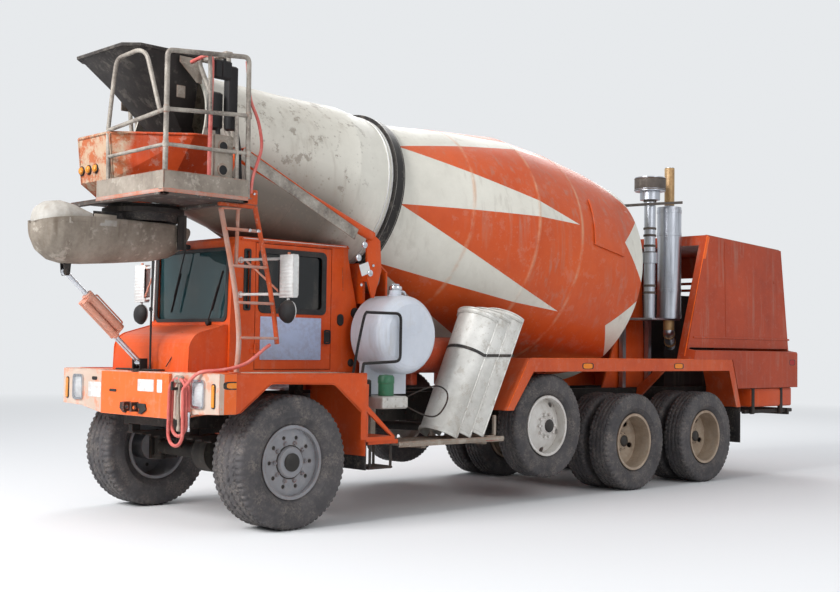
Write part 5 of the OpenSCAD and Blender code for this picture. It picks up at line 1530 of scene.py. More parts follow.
@dataclass
class FrontEnd:
    """Lamps, blank plates, towing ears and edge strips on the bumper and deck."""

    face: float = 0.76
    lamp_y: float = 0.945
    lamp_z: float = 1.1
    marker_y: float = 1.145
    marker_z: float = 1.088

    def build(self) -> None:
        """All the pieces of the front end."""
        self.headlamps()
        self.markers()
        self.plates()
        self.snout()

    def headlamps(self) -> None:
        """Bright bezels with ribbed lenses bulged forwards: x = face + b (1 - u^2)(1 - v^2)."""
        bezel, lens = Skin(), Skin()
        outer, inner = rounded(0.176, 0.226, 0.035, 6), rounded(0.142, 0.19, 0.026, 6)
        bezel.band(outer, inner, (self.face - 0.006, self.lamp_y, self.lamp_z), NORTH, SKY, 0.022)
        for dz in (-0.098, 0.098):
            bezel.heads([(self.face + 0.012, self.lamp_y + dy, self.lamp_z + dz * 1.06)
                         for dy in (-0.06, 0.06)], EAST, 0.009, 0.004)
        u, v = np.meshgrid(np.linspace(-1, 1, 17), np.linspace(-1, 1, 17), indexing="ij")
        grid = np.stack([self.face - 0.002 + 0.026 * (1 - u**2) * (1 - v**2), self.lamp_y + 0.0715 * u,
                         self.lamp_z + 0.0955 * v], -1)
        lens.sheet(grid, 0.004)
        bezel.both().piece("headlamp_bezels", BRIGHT)
        lens.both().piece("headlamp_lenses", LENS)

    def markers(self) -> None:
        """Upright amber lamps in black rims at the bumper's ends."""
        amber, rims = Skin(), Skin()
        amber.prism(rounded(0.036, 0.175, 0.014), (self.face, self.marker_y, self.marker_z), NORTH,
                    SKY, 0.016, 0.006)
        rims.band(rounded(0.052, 0.192, 0.02), rounded(0.037, 0.176, 0.014),
                  (self.face - 0.002, self.marker_y, self.marker_z), NORTH, SKY, 0.008)
        amber.both().piece("amber_markers", AMBER)
        rims.both().piece("marker_rims", TRIM)

    def plates(self) -> None:
        """Blank white plates, ears beside the towing hook, the slotted vent and the top wear strip."""
        plates, dark, strip = Skin(), Skin(), Skin()
        for y, z, w, h in ((0.215, 1.146, 0.245, 0.098), (0.425, 1.146, 0.075, 0.105)):
            plates.prism(rounded(w, h, 0.006), (self.face + 0.0302, y, z), NORTH, SKY, 0.002, 0.0008)
        plates.prism(rounded(0.215, 0.13, 0.006), (self.face + 0.0002, -0.665, 1.085), NORTH, SKY,
                     0.002, 0.0008)
        plates.piece("blank_plates", BLANK)
        for y, lean in ((-0.085, 1.0), (0.165, -1.0)):
            ear = np.array([(-0.075, 0.03), (0.06, 0.03), (0.05 - 0.03 * lean, -0.02), (0.012, -0.055),
                            (-0.03, -0.055),
                            (-0.05 - 0.03 * lean, -0.02)])
            dark.prism(ear, (self.face + 0.0302, y, 0.965), NORTH, SKY, 0.016, 0.003)
        dark.prism(rounded(0.085, 0.03, 0.012), (self.face + 0.0005, -0.665, 1.182), NORTH, SKY, 0.006, 0.002)
        dark.prism(rounded(0.11, 0.022, 0.006), (self.face + 0.0302, -0.3, 1.09), NORTH, SKY, 0.006, 0.002)
        dark.piece("bumper_black_fittings", TRIM)
        for y0, y1 in ((-1.2, -0.51), (0.57, 1.2)):
            strip.slab((self.face - 0.15, self.face - 0.006), (y0, y1), (1.2602, 1.2642), 0.0018)
        strip.piece("bumper_tread_strips", BUMPER)

    def snout(self) -> None:
        """Beads on the snout and the deck, the black ledge and pole behind the bumper, and deck sheets."""
        turn = np.linspace(math.radians(8), math.radians(76), 12)
        path = np.stack([0.472 + 0.152 * np.cos(turn), np.full(12, 0.0), 1.44 + 0.152 * np.sin(turn)], -1)
        path = np.vstack([(0.629, 0, 1.285), path, (0.27, 0, 1.653)])
        lips = Skin()
        for y in (0.583, -0.583):
            lips.strap(path + (0, y, 0), 0.014, 0.008, NORTH)
        lips.piece("snout_edge_beads", ORANGE)
        deck = Skin()
        deck.strap([(-0.745, 1.216, 1.2615), (0.0, 1.216, 1.2615), (0.6, 1.216, 1.2615)], 0.008, 0.01, NORTH)
        arch = bent([(0.56, 1.2155, 0.962), (0.265, 1.2155, 1.188), (-0.39, 1.2155, 1.178),
                     (-0.69, 1.2155, 0.942)], 0.03)
        deck.strap(arch, 0.009, 0.016, NORTH)
        deck.both().piece("deck_edge_beads", ORANGE)
        ledge = Skin().slab((self.face - 0.1, self.face - 0.02), (-0.36, 0.3), (1.265, 1.279), 0.004)
        ledge.tube(flow([(0.7, 0.13, 1.262), (0.702, 0.131, 1.45), (0.7, 0.128, 1.7), (0.701, 0.126, 1.775)],
                        5), 0.009, 10)
        ledge.lathe([(0.008, 0), (0.016, 0.003), (0.016, 0.03), (0.008, 0.034)],
                    (0.701, 0.126, 1.76), SKY, 14)
        ledge.tube(flow([(0.6, -0.02, 1.34), (0.56, 0.1, 1.5), (0.5, 0.22, 1.575), (0.51, 0.33, 1.572),
                         (0.6, 0.36, 1.44),
                         (0.655, 0.3, 1.3)], 6), 0.004, 8)
        ledge.piece("snout_cable_and_pole", TRIM)
        floor = Skin().slab((-0.72, 0.24), (0.63, 1.2), (1.2601, 1.2631), 0.0012)
        floor.both().piece("deck_tread_sheets", GALVANISED)


@dataclass
class Cab:
    """Seals, wiper, door dress, hinges and the fittings behind the glass."""

    front: float = 0.25
    wall_y: float = 0.6205
    window_z: float = 2.04
    door_window_x: float = -0.405
    latch: tuple[float, float] = (-0.779, 1.57)

    def build(self) -> None:
        """All the cab's pieces."""
        self.windscreen()
        for side in Side:
            self.door(side)
        self.trim()

    def slant(self, y: np.ndarray, z: np.ndarray, out: float) -> np.ndarray:
        """Points on the leaning front wall: x falls by 15 mm from Z 1.655 to 2.29.

        Args:
            y: Y of each point.
            z: Z of each point.
            out: Distance in front of the wall.

        Returns:
            The points as (n, 3).
        """
        return np.stack([self.front + out - 0.015 * np.clip((z - 1.655) / 0.635, 0, 1), y, z], -1)

    def windscreen(self) -> None:
        """Black seal with round corners that fills the square cut, a visor band, and one wiper."""
        seal = Skin()
        outer, inner = rounded(1.11, 0.628, 0.06, 8), rounded(1.042, 0.572, 0.045, 8)
        lean = unit((-0.015, 0, 0.635))
        seal.band(outer, inner, (self.front - 0.012, 0.02, 1.995), NORTH, lean, 0.012)
        seal.piece("windscreen_seal", SEAL_RUBBER)
        visor = Skin().slab((0.15, 0.156), (-0.5, 0.54), (2.14, 2.3), 0.003)
        visor.slab((0.02, 0.19), (-0.5, 0.54), (1.62, 1.76), 0.02)
        visor.piece("sun_visor_and_dash", TRIM)
        wiper = Skin()
        for y, z, ty, tz in ((-0.04, 2.335, -0.2, 1.9), (0.33, 1.672, 0.46, 1.98)):
            a, b = self.slant(np.array([y, ty]), np.array([z, tz]), 0.026)
            wiper.tube(np.linspace(a, b, 6), 0.006, 8)
            d = unit(b - a)
            wiper.strap(np.linspace(b - d * 0.22 + (-0.01, 0, 0), b + d * 0.14 + (-0.01, 0, 0), 8),
                        0.02, 0.007, EAST)
            wiper.lathe([(0.022, -0.03), (0.024, 0.006), (0.016, 0.014)], tuple(a), EAST, 16)
        wiper.piece("wipers", TRIM)
        # Dark slab laid over the left windscreen pillar as painted shade.
        pillar = Skin().slab((0.243, 0.2515), (-0.612, -0.556), (1.7, 2.3), 0.003)
        pillar.piece("cab_pillar_painted_shade", TRIM)
        strip = Skin().tube(np.linspace((0.262, -0.545, 1.69), (0.246, -0.545, 2.33), 4), 0.009, 10)
        strip.piece("windscreen_edge_strip", BLANK)

    def door(self, side: Side) -> None:
        """Window seal, blank sheet, hinges and recessed handle, riding on the door.

        Args:
            side: The side of the truck.
        """
        s = side.sign
        body = f"door_{side.label}"
        seal = Skin()
        seal.band(rounded(0.742, 0.556, 0.05, 6), rounded(0.64, 0.462, 0.035, 6),
                  (self.door_window_x, s * self.wall_y, self.window_z),
                  (-s, 0, 0), SKY, 0.009)
        seal.piece(f"door_window_seal_{side.label}", SEAL_RUBBER, body)
        sheet = Skin().prism(rounded(0.666, 0.368, 0.006), (-0.39, s * 0.6232, 1.55), (-s, 0, 0), SKY,
                             0.0022, 0.001)
        sheet.piece(f"door_blank_sheet_{side.label}", BLUE_SHEET, body)
        metal = Skin()
        for z in (1.48, 2.18):
            metal.heads([(x, s * 0.6282, z + dz) for x in (-0.036, -0.022) for dz in (-0.008, 0.01)],
                        (0, s, 0), 0.008, 0.003)
        metal.piece(f"door_hinges_{side.label}", ORANGE, body)
        latch = Skin()
        latch_x, latch_z = self.latch
        latch.band(rounded(0.078, 0.128, 0.02, 6), rounded(0.05, 0.098, 0.014, 6),
                   (latch_x, s * 0.6422, latch_z), (-s, 0, 0), SKY, 0.006)
        latch.prism(rounded(0.046, 0.092, 0.012, 6), (latch_x, s * 0.6424, latch_z), (-s, 0, 0),
                    SKY, 0.003, 0.001)
        latch.piece(f"door_latch_{side.label}", TRIM, body)

    def trim(self) -> None:
        """Corner window rims, the rear wall's seams, white roof edge strips as a painted highlight, and round
        caps.
        """
        rims = Skin()
        rims.band(rounded(0.072, 0.522, 0.018, 5), rounded(0.04, 0.488, 0.012, 5),
                  (0.085, self.wall_y, self.window_z), WEST, SKY, 0.006)
        rims.both().piece("corner_window_rims", SEAL_RUBBER)
        seam = Skin().strap([(-0.975, 0.6215, 1.99), (-0.97, 0.6215, 2.1), (-0.965, 0.6215, 2.2)],
                            0.01, 0.004, EAST)
        seam.both().piece("cab_rear_seams", WORN_ORANGE)
        # White strips along the roof's side edges: a painted highlight.
        roof = Skin()
        roof.strap([(-0.99, 0.6375, 2.386), (-0.4, 0.6375, 2.386), (0.14, 0.6375, 2.386)],
                   0.012, 0.006, NORTH)
        roof.both().piece("roof_edge_painted_highlights", BLANK)
        box = Skin()
        cap = [(0.02, 0.0), (0.048, 0.003), (0.05, 0.03), (0.044, 0.046), (0.026, 0.052), (0.004, 0.053)]
        box.lathe(cap, (-1.12, 0.6, 1.793), NORTH, 28)
        box.lathe([(r * 0.85, h * 2.6 - 0.06) for r, h in cap], (-1.08, 0.56, 1.342), NORTH, 28)
        box.prism(rounded(0.075, 0.105, 0.036, 6), (-0.945, self.wall_y, 1.727), WEST, SKY, 0.012, 0.004)
        box.both().piece("cab_rear_caps", TRIM)


@dataclass
class Discharge:
    """Platform, hopper, collector and chute pieces above the cab."""

    floor_z: float = 2.6533
    front: float = 1.22
    back: float = 0.44
    left: float = 1.1
    right: float = 0.32
    rail_x: float = 1.195
    rail_y: float = 1.075
    toe_z: float = 2.795
    toe_wall: float = 0.007
    well: tuple[float, float] = (0.5, 0.94)
    well_y: float = 0.285
    hopper_rings: tuple[tuple[float, ...], ...] = (
        (3.13, 0.27, 0.46, 0.2, 0.04), (3.33, 0.42, 0.6, 0.25, 0.05), (3.62, 0.445, 0.87, 0.35, 0.08),
        (3.885, 0.46, 1.165, 0.46, 0.11))
    hopper_wall: float = 0.01
    brace_back: Triple = (-0.9, 0.0, 2.48)
    brace_front: Triple = (0.3, 0.0, 3.06)
    lamp_x: float = 1.17
    lamp_z: float = 2.915
    collector_x: float = 1.2
    collector_z: float = 3.181
    swivel_x: float = 0.72
    chute_wall: float = 0.007
    hinge: tuple[float, float] = (0.48, 2.33)
    boat: tuple[tuple[float, ...], ...] = (
        (0.335, 0.12, 2.455, 2.385), (0.38, 0.16, 2.47, 2.3), (0.5, 0.186, 2.488, 2.225),
        (0.66, 0.198, 2.492, 2.19), (1.0, 0.214, 2.492, 2.155), (1.28, 0.228, 2.49, 2.132),
        (1.44, 0.232, 2.484, 2.126), (1.55, 0.222, 2.474, 2.15), (1.63, 0.188, 2.462, 2.205),
        (1.68, 0.13, 2.452, 2.28), (1.7, 0.06, 2.444, 2.36), (1.703, 0.004, 2.44, 2.436))
    dome: tuple[tuple[float, ...], ...] = (
        (0.97, 0.18, 2.478, 2.494), (1.1, 0.186, 2.478, 2.498), (1.22, 0.198, 2.478, 2.51),
        (1.32, 0.21, 2.476, 2.548), (1.42, 0.218, 2.472, 2.592), (1.52, 0.216, 2.466, 2.612),
        (1.6, 0.186, 2.458, 2.602), (1.655, 0.134, 2.45, 2.566), (1.685, 0.076, 2.442, 2.516),
        (1.692, 0.004, 2.44, 2.446))
    cylinder_foot: Triple = (0.72, 0.0, 1.33)
    cylinder_eye: Triple = (1.42, 0.0, 2.055)
    rod_offset: float = 0.07

    def build(self) -> None:
        """Everything that serves charging and discharging."""
        self.hopper()
        self.braces()
        self.collector()
        self.deck()
        self.rails()
        self.fittings()
        self.chutes()
        self.cylinder()

    def ring(self, z: float, x0: float, x1: float, half: float, cut: float, grow: float = 0.0) -> np.ndarray:
        """Outline of the hopper at a height: a rectangle whose front corners are cut off.

        Args:
            z: The height.
            x0: X of the back.
            x1: X of the front.
            half: Half width.
            cut: Size of the cut corners.
            grow: How far the outline moves outwards.

        Returns:
            Six corners as (6, 3).
        """
        x0, x1, half = x0 - grow, x1 + grow, half + grow
        return np.array([(x0, -half, z), (x1 - cut, -half, z), (x1, cut - half, z), (x1, half - cut, z),
                         (x1 - cut, half, z), (x0, half, z)])

    def hopper(self) -> None:
        """Open hopper lofted through its rings, with its rim, stays, gussets and water pipes."""
        plate, rim, beige = Skin(), Skin(), Skin()
        outer = [self.ring(*z) for z in self.hopper_rings]
        inner = [self.ring(*z, grow=-self.hopper_wall) for z in reversed(self.hopper_rings)]
        plate.shell(np.stack(outer + inner), True)
        plate.piece("hopper_plate", HOPPER, "truck", ("charge_hopper",))
        z, x0, x1, half, cut = self.hopper_rings[-1]
        lip = Skin()
        lip.shell(np.stack([self.ring(z + dz, x0, x1, half, cut, out) for dz, out in
                            ((-0.014, 0.001), (-0.012, 0.01), (0.01, 0.012), (0.014, 0.008), (0.012, -0.012),
                             (-0.002, -0.011), (-0.012, -0.01))]), True)
        lip.piece("hopper_rim", HOPPER)
        for s in (1, -1):
            rim.tube([(0.345, s * 0.764, 3.106), (0.44, s * 0.6, 3.48), (0.5, s * 0.475, 3.8),
                      (0.51, s * 0.455, 3.868)], 0.022, 12)
            rim.slab((0.4, 0.47), (min(s * 0.44, s * 0.8), max(s * 0.44, s * 0.8)), (3.845, 3.885), 0.006)
            rim.tube([(0.435, s * 0.78, 3.86), (0.36, s * 0.775, 3.11)], 0.02, 12)
            gusset = np.array([(0.0, 0.0), (0.22, 0.0), (0.22, -0.05), (0.05, -0.2), (0.0, -0.2)])
            beige.prism(gusset, (0.475, s * 0.474 - 0.004, 3.86), EAST, SKY, 0.008, 0.002)
            beige.slab((0.62, 0.7), (s * 0.44 - 0.004, s * 0.44 + 0.004), (3.52, 3.62), 0.003)
        rim.piece("hopper_stays", RAIL_STEEL)
        beige.piece("hopper_gussets", GALVANISED)
        pipe = Skin()
        pipe.tube(bent([(0.775, 1.04, 2.66), (0.775, 1.04, 3.02), (0.765, 1.04, 3.74), (0.7, 0.86, 3.8),
                        (0.64, 0.56, 3.8)],
                       0.06), 0.016, 12)
        pipe.tube(bent([(0.4, 1.08, 2.7), (0.395, 1.085, 2.82), (0.3, 1.09, 3.08), (0.34, 1.085, 3.29),
                        (0.425, 1.075, 3.45),
                        (0.44, 1.05, 3.76)], 0.08), 0.013, 10)
        pipe.piece("charge_water_pipes", HOSE)

    def braces(self) -> None:
        """Channels on the two braces that hold the hopper: a web outside and a flange on top."""
        arm = Skin()
        a, b = np.array(self.brace_back), np.array(self.brace_front)
        along = unit(b - a)
        over = np.array([-along[2], 0, along[0]])
        for s in (1, -1):
            arm.strap(np.linspace(a + (0, s * 0.88, 0), b + (0, s * 0.812, 0), 6), 0.104, 0.008, over)
        arm.piece("brace_webs", RAIL_STEEL)
        flange = Skin()
        for s in (1, -1):
            flange.strap(np.linspace(a + (0, s * 0.852, 0) + over * 0.055,
                                     b + (0, s * 0.784, 0) + over * 0.055, 6), 0.075, 0.008, NORTH)
        flange.piece("brace_flanges", ORANGE)

    def collector(self) -> None:
        """Three amber lamps on black rims and rolled edges on the collector."""
        lamps, rims, beads = Skin(), Skin(), Skin()
        for y in (-0.225, -0.112, 0.0):
            base = (self.lamp_x, y, self.lamp_z)
            rims.lathe([(0.036, -0.02), (0.04, -0.016), (0.04, 0.01), (0.035, 0.012)], base, EAST, 24)
            lamps.lathe([(0.033, 0.008), (0.033, 0.014), (0.027, 0.024), (0.014, 0.03), (0.002, 0.031)],
                        base, EAST, 24)
        lamps.piece("collector_lamps", AMBER)
        rims.piece("collector_lamp_rims", TRIM)
        top, tip = self.collector_z, self.collector_x
        path = [(0.33, -0.69, top), (0.68, -0.69, top), (tip, -0.25, top), (tip, 0.25, top),
                (0.68, 0.69, top),
                (0.33, 0.69, top)]
        beads.tube(bent(path, 0.03), 0.012, 10)
        for s in (1, -1):
            beads.tube([(tip, s * 0.25, top), (1.16, s * 0.25, 2.81), (0.96, s * 0.22, 2.66)], 0.008, 8)
        beads.piece("collector_edge_beads", COLLECTOR)

    def deck(self) -> None:
        """Floor in four strips about the ring's well, toe boards with turned tops, and angles below."""
        deck, boards = Skin(), Skin()
        low, well, half = self.floor_z - 0.008, self.well, self.well_y
        length = (self.back, self.front)
        for x, y in ((length, (half, self.left)), (length, (-self.right, -half)),
                     ((self.back, well[0]), (-half, half)), ((well[1], self.front), (-half, half))):
            deck.slab(x, y, (low, self.floor_z), 0.002)
        for x in (self.back, self.front - 0.05):
            deck.slab((x, x + 0.05), (-self.right, self.left), (low - 0.03, low), 0.003)
        deck.slab((self.back, self.front), (self.left - 0.05, self.left), (low - 0.03, low), 0.003)
        for x in np.arange(0.5, 1.2, 0.12):
            deck.strap([(x, 0.31, self.floor_z + 0.002), (x, 1.07, self.floor_z + 0.002)], 0.012, 0.005, EAST)
        deck.piece("platform_deck", DECK_STEEL, "truck", ("platform",))
        top, wall = self.toe_z + 0.002, self.toe_wall
        boards.slab((self.front - wall, self.front), (0.1, self.left), (low, self.toe_z), 0.002)
        boards.slab((self.back, self.front), (self.left - wall, self.left), (low, self.toe_z), 0.002)
        x, y = self.front - 0.012, self.left - 0.012
        boards.strap([(x, 0.1, top), (x, self.left, top)], 0.024, 0.006, EAST)
        boards.strap([(self.back, y, top), (self.front, y, top)], 0.024, 0.006, NORTH)
        boards.piece("toe_boards", GALVANISED)
        edge = Skin()
        x, y, z = self.front + 0.001, self.left - 0.001, 2.648
        edge.strap([(x, 0.1, z), (x, self.left, z)], 0.03, 0.004, SKY)
        edge.strap([(self.back, y, z), (self.front, y, z)], 0.03, 0.004, SKY)
        edge.piece("toe_board_rusty_edges", PEELING)

    def rails(self) -> None:
        """Guard rails of bent tube, with the arched gate in front and welded sleeves at the posts."""
        x, y, z0 = self.rail_x, self.rail_y, self.floor_z
        rails = Skin()
        rails.tube(bent([(x, y, z0), (x, y, 3.715), (0.44, y, 3.79), (0.43, y, z0)], 0.05, 7), 0.02, 14)
        rails.tube(bent([(x, 0.25, z0), (x, 0.22, 3.2), (x, y, 3.265), (0.43, y, 3.32)], 0.03, 5), 0.017, 12)
        rails.tube([(x, 0.235, 2.985), (x, 0.66, 2.992), (x, y, 2.998), (0.82, y, 3.005), (0.43, y, 3.016)],
                   0.015, 12)
        rails.tube(bent([(x, 0.22, 3.2), (x, 0.29, 3.6), (x, 0.33, 3.765), (x, 0.66, 3.785), (x, 0.78, 3.735),
                         (x, 0.99, 3.25)],
                        0.07, 7), 0.017, 12)
        rails.tube([(0.812, y, 3.75), (0.804, y, 3.52), (0.798, y, 3.29)], 0.016, 12)
        rails.tube([(0.548, y, 3.305), (0.54, y, 3.0), (0.535, y, z0)], 0.016, 12)
        for at_x, z in ((x, 2.998), (x, 3.265), (0.43, 3.016), (0.43, 3.32)):
            rails.lathe([(0.019, -0.026), (0.024, -0.022), (0.024, 0.022), (0.019, 0.026)],
                        (at_x, y, z), SKY, 16)
        for at_x in (x, 0.43, 0.535):
            rails.slab((at_x - 0.035, at_x + 0.035), (y - 0.035, self.left - 0.008), (z0, z0 + 0.008), 0.003)
        rails.piece("guard_rails", RAIL_STEEL)

    def fittings(self) -> None:
        """Valve box with two round ports, and the dark box that hangs below the top rail."""
        box, dark = Skin(), Skin()
        box.slab((0.555, 0.735), (1.0, 1.052), (2.7, 3.14), 0.012)
        box.slab((0.57, 0.72), (0.96, 1.03), (2.654, 2.71), 0.006)
        for z in (2.86, 3.045):
            box.band(circle(0.05, 24), circle(0.038, 24), (0.655, 1.052, z), WEST, SKY, 0.006)
            dark.lathe([(0.001, 0.0), (0.038, 0.001), (0.038, 0.004), (0.001, 0.0045)],
                       (0.655, 1.052, z), NORTH, 24)
        box.piece("valve_box", GALVANISED)
        dark.slab((0.58, 0.735), (0.99, 1.05), (3.585, 3.735), 0.012)
        dark.strap([(0.66, 1.055, 3.6), (0.66, 1.055, 3.745)], 0.03, 0.006, EAST)
        dark.slab((0.47, 0.56), (0.9, 0.98), (3.34, 3.72), 0.012)
        dark.slab((0.585, 0.69), (0.86, 0.94), (3.2, 3.5), 0.015)
        dark.tube(bent([(0.62, 0.92, 3.22), (0.62, 0.94, 2.95), (0.5, 0.98, 2.8), (0.47, 1.0, 2.662)], 0.08),
                  0.02, 12)
        dark.tube(bent([(0.5, 0.95, 3.36), (0.47, 1.0, 3.1), (0.455, 1.02, 2.662)], 0.08), 0.016, 12)
        dark.lathe([(0.01, 0), (0.045, 0.004), (0.05, 0.03), (0.05, 0.13), (0.03, 0.15), (0.004, 0.152)],
                   (0.53, 0.96, 3.2), SKY, 24)
        dark.piece("platform_dark_fittings", TRIM)

    def trough(self, stations: Sequence[tuple[float, float, float, float]], steps: int = 33) -> np.ndarray:
        """Skin of a chute that is open on one side.

        A section runs from rim to rim: y = w cos^p a and z = rim + (far - rim) sin^p a, with the
        power p at 0.8, which makes the half ellipse a little square.

        Args:
            stations: (X, half width w, rim Z, far Z) along the chute.
            steps: Points of a section.

        Returns:
            The grid as (rows, steps, 3).
        """
        table = np.array(stations)
        x = np.concatenate([np.linspace(p, q, 6, endpoint=False) for p,
                            q in zip(table[:-1, 0], table[1:, 0])] + [table[-1:, 0]])
        w, rim, far = (np.interp(x, table[:, 0], table[:, k])[:, None] for k in (1, 2, 3))
        a = np.linspace(0, math.pi, steps)[None, :]
        c, sn = np.cos(a), np.abs(np.sin(a))
        return np.stack([np.broadcast_to(x[:, None], (len(x), steps)), w * np.sign(c) * np.abs(c) ** 0.8,
                         rim + (far - rim) * sn**0.8], -1)

    def chutes(self) -> None:
        """Boat-shaped main chute with rims and lug, the dome folded over it, pale from concrete crust and
        painted sunlight, and a skirt.
        """
        main, rims, bands = Skin(), Skin(), Skin()
        grid = self.trough(self.boat)
        main.sheet(grid[:, ::-1], self.chute_wall)
        main.piece("main_chute_boat", CHUTE, "chute", ("main_chute",))
        for edge in (grid[3:-4, 0], grid[3:-4, -1]):
            rims.strap(edge + (0, 0, -0.02), 0.016, 0.046, NORTH)
        rims.piece("main_chute_rims", CHUTE, "chute")
        # Pale band on the rim's top: concrete crust and painted sunlight.
        band = Skin().strap(np.linspace((1.1, 0.229, 2.452), (1.52, 0.231, 2.448), 8), 0.05, 0.006, SKY)
        band.piece("main_chute_pale_band", SUNLIT_CRUST_CHUTE, "chute")
        boards = Skin()
        for y in (-0.205, 0.205):
            boards.strap([(1.04, y, 2.515), (1.3, y, 2.51)], 0.066, 0.006, SKY)
        boards.piece("splash_boards", FLAP_RUBBER, "chute")
        eye_x, _, eye_z = self.cylinder_eye
        lug = np.array([(-0.036, 0.12), (-0.026, 0.0), (-0.014, -0.026), (0.014, -0.026), (0.026, 0.0),
                        (0.036, 0.12)])
        for y in (-0.022, 0.034):
            bands.prism(lug, (eye_x, y, eye_z - 0.005), EAST, SKY, 0.012, 0.002)
        bands.lathe([(0.012, -0.042), (0.022, -0.04), (0.022, 0.04), (0.012, 0.042)],
                    self.cylinder_eye, NORTH, 20)
        bands.piece("main_chute_bands", ENGINE_BLACK, "chute")
        fold, dark = Skin(), Skin()
        # The dome's pale tone is concrete crust and painted sunlight on its top.
        fold.sheet(self.trough(self.dome), self.chute_wall)
        fold.piece("fold_chute_dome", SUNLIT_CRUST_CHUTE, "chute", ("fold_chute",))
        for s in (1, -1):
            dark.slab((1.1, 1.3), (s * 0.222 - 0.006, s * 0.222 + 0.006), (2.44, 2.52), 0.004)
            dark.lathe([(0.02, -0.012), (0.038, -0.01), (0.038, 0.01), (0.02, 0.012)],
                       (self.hinge[0], s * 0.198, self.hinge[1]), NORTH, 24)
        dark.piece("chute_hinges", CHUTE, "chute")
        skirt = Skin().lathe([(0.3, 2.5695), (0.282, 2.505), (0.274, 2.505), (0.292, 2.5695)],
                             (self.swivel_x, 0.0, 0.0), SKY, 48, True)
        skirt.piece("splash_skirt", FLAP_RUBBER, "chute_swivel")

    def cylinder(self) -> None:
        """Gland nuts and the oil pipe on the twin lift cylinder's barrels.

        The upper barrel's line passes the foot at rod_offset and ends at the eye, so its tilt is
        the direction from foot to eye less atan(rod_offset / length).
        """
        foot, eye = np.array(self.cylinder_foot), np.array(self.cylinder_eye)
        reach = np.linalg.norm(eye - foot)
        length = math.sqrt(reach**2 - self.rod_offset**2)
        tilt = math.atan2(eye[2] - foot[2], eye[0] - foot[0]) - math.atan2(self.rod_offset, length)
        ahead = np.array([math.cos(tilt), 0, math.sin(tilt)])
        over = np.array([-math.sin(tilt), 0, math.cos(tilt)])
        parts = Skin()
        top = foot + over * self.rod_offset
        for at, big, small in ((0.726, 0.046, 0.024), (0.336, 0.044, 0.04)):
            parts.lathe([(small, 0), (big, 0.003), (big, 0.02), (small, 0.024)],
                        tuple(top + ahead * at), ahead, 24)
        for y in (-0.028, 0.028):
            parts.lathe([(0.016, 0), (0.026, 0.002), (0.026, 0.018), (0.016, 0.02)],
                        tuple(foot + ahead * 0.318 + (0, y, 0)), ahead, 18)
        pipe = [tuple(top + ahead * at + over * up) for at,
                up in ((0.35, 0.044), (0.35, 0.062), (0.68, 0.062), (0.68, 0.044))]
        parts.tube(bent(pipe, 0.015), 0.007, 8)
        parts.piece("cylinder_glands", BARREL, "cylinder_barrels")


@dataclass
class Ladder:
    """Boarding ladder whose stiles spread towards its foot, with a head bracket on the platform."""

    y: float = 1.03
    front: tuple[tuple[float, float], ...] = ((0.65, 2.56), (0.537, 2.1), (0.479, 1.8),
                                              (0.452, 1.52), (0.47, 1.27))
    rear: tuple[tuple[float, float], ...] = ((0.321, 2.6), (0.232, 2.257), (0.127, 1.826), (0.072, 1.5))
    inner: tuple[tuple[float, float], ...] = ((0.486, 2.565), (0.49, 2.34), (0.495, 2.12))
    rungs: tuple[float, ...] = (2.405, 2.115, 1.825, 1.545)

    def stile(self, points: Sequence[tuple[float, float]]) -> np.ndarray:
        """Smooth path through (X, Z) points in the ladder's plane."""
        return flow([(x, self.y, z) for x, z in points], 5)

    def build(self) -> None:
        """Pale front stile, orange rear stile, rungs with bright bolts, and the head bracket."""
        pale, warm, bolts = Skin(), Skin(), Skin()
        pale.tube(self.stile(self.front), 0.021, 14)
        pale.tube(self.stile(self.inner), 0.015, 12)
        pale.strap([(0.655, self.y, 2.562), (0.57, self.y, 2.566), (0.47, self.y, 2.57)], 0.04, 0.012, NORTH)
        warm.tube(self.stile(self.rear), 0.02, 14)
        for z in self.rungs:
            x0 = float(np.interp(z, *np.array(self.front)[::-1].T[::-1]))
            x1 = float(np.interp(z, *np.array(self.rear)[::-1].T[::-1]))
            pale.prism(rounded(x0 - x1, 0.056, 0.012), ((x0 + x1) / 2, self.y, z - 0.01), EAST,
                       NORTH, 0.022, 0.005)
            if z == self.rungs[0]:
                bolts.heads([(x, self.y + 0.029, z) for x in (x1 + 0.04, x1 + 0.12)], NORTH, 0.026, 0.014)
        warm.slab((0.3, 0.66), (self.y - 0.035, self.y + 0.012), (2.585, 2.614), 0.005)
        warm.prism(rounded(0.15, 0.12, 0.012), (0.385, self.y + 0.012, 2.675), WEST, SKY, 0.01, 0.003)
        warm.slab((0.45, 0.52), (self.y - 0.04, self.y + 0.04), (1.2602, 1.272), 0.003)
        bolts.heads([(0.35, self.y + 0.024, 2.7), (0.42, self.y + 0.024, 2.65)], NORTH, 0.02, 0.01)
        pale.piece("ladder_stile_and_rungs", PEELING, "truck", ("ladder",))
        warm.piece("ladder_rear_stile", WORN_ORANGE)
        bolts.piece("ladder_bolts", BRIGHT)


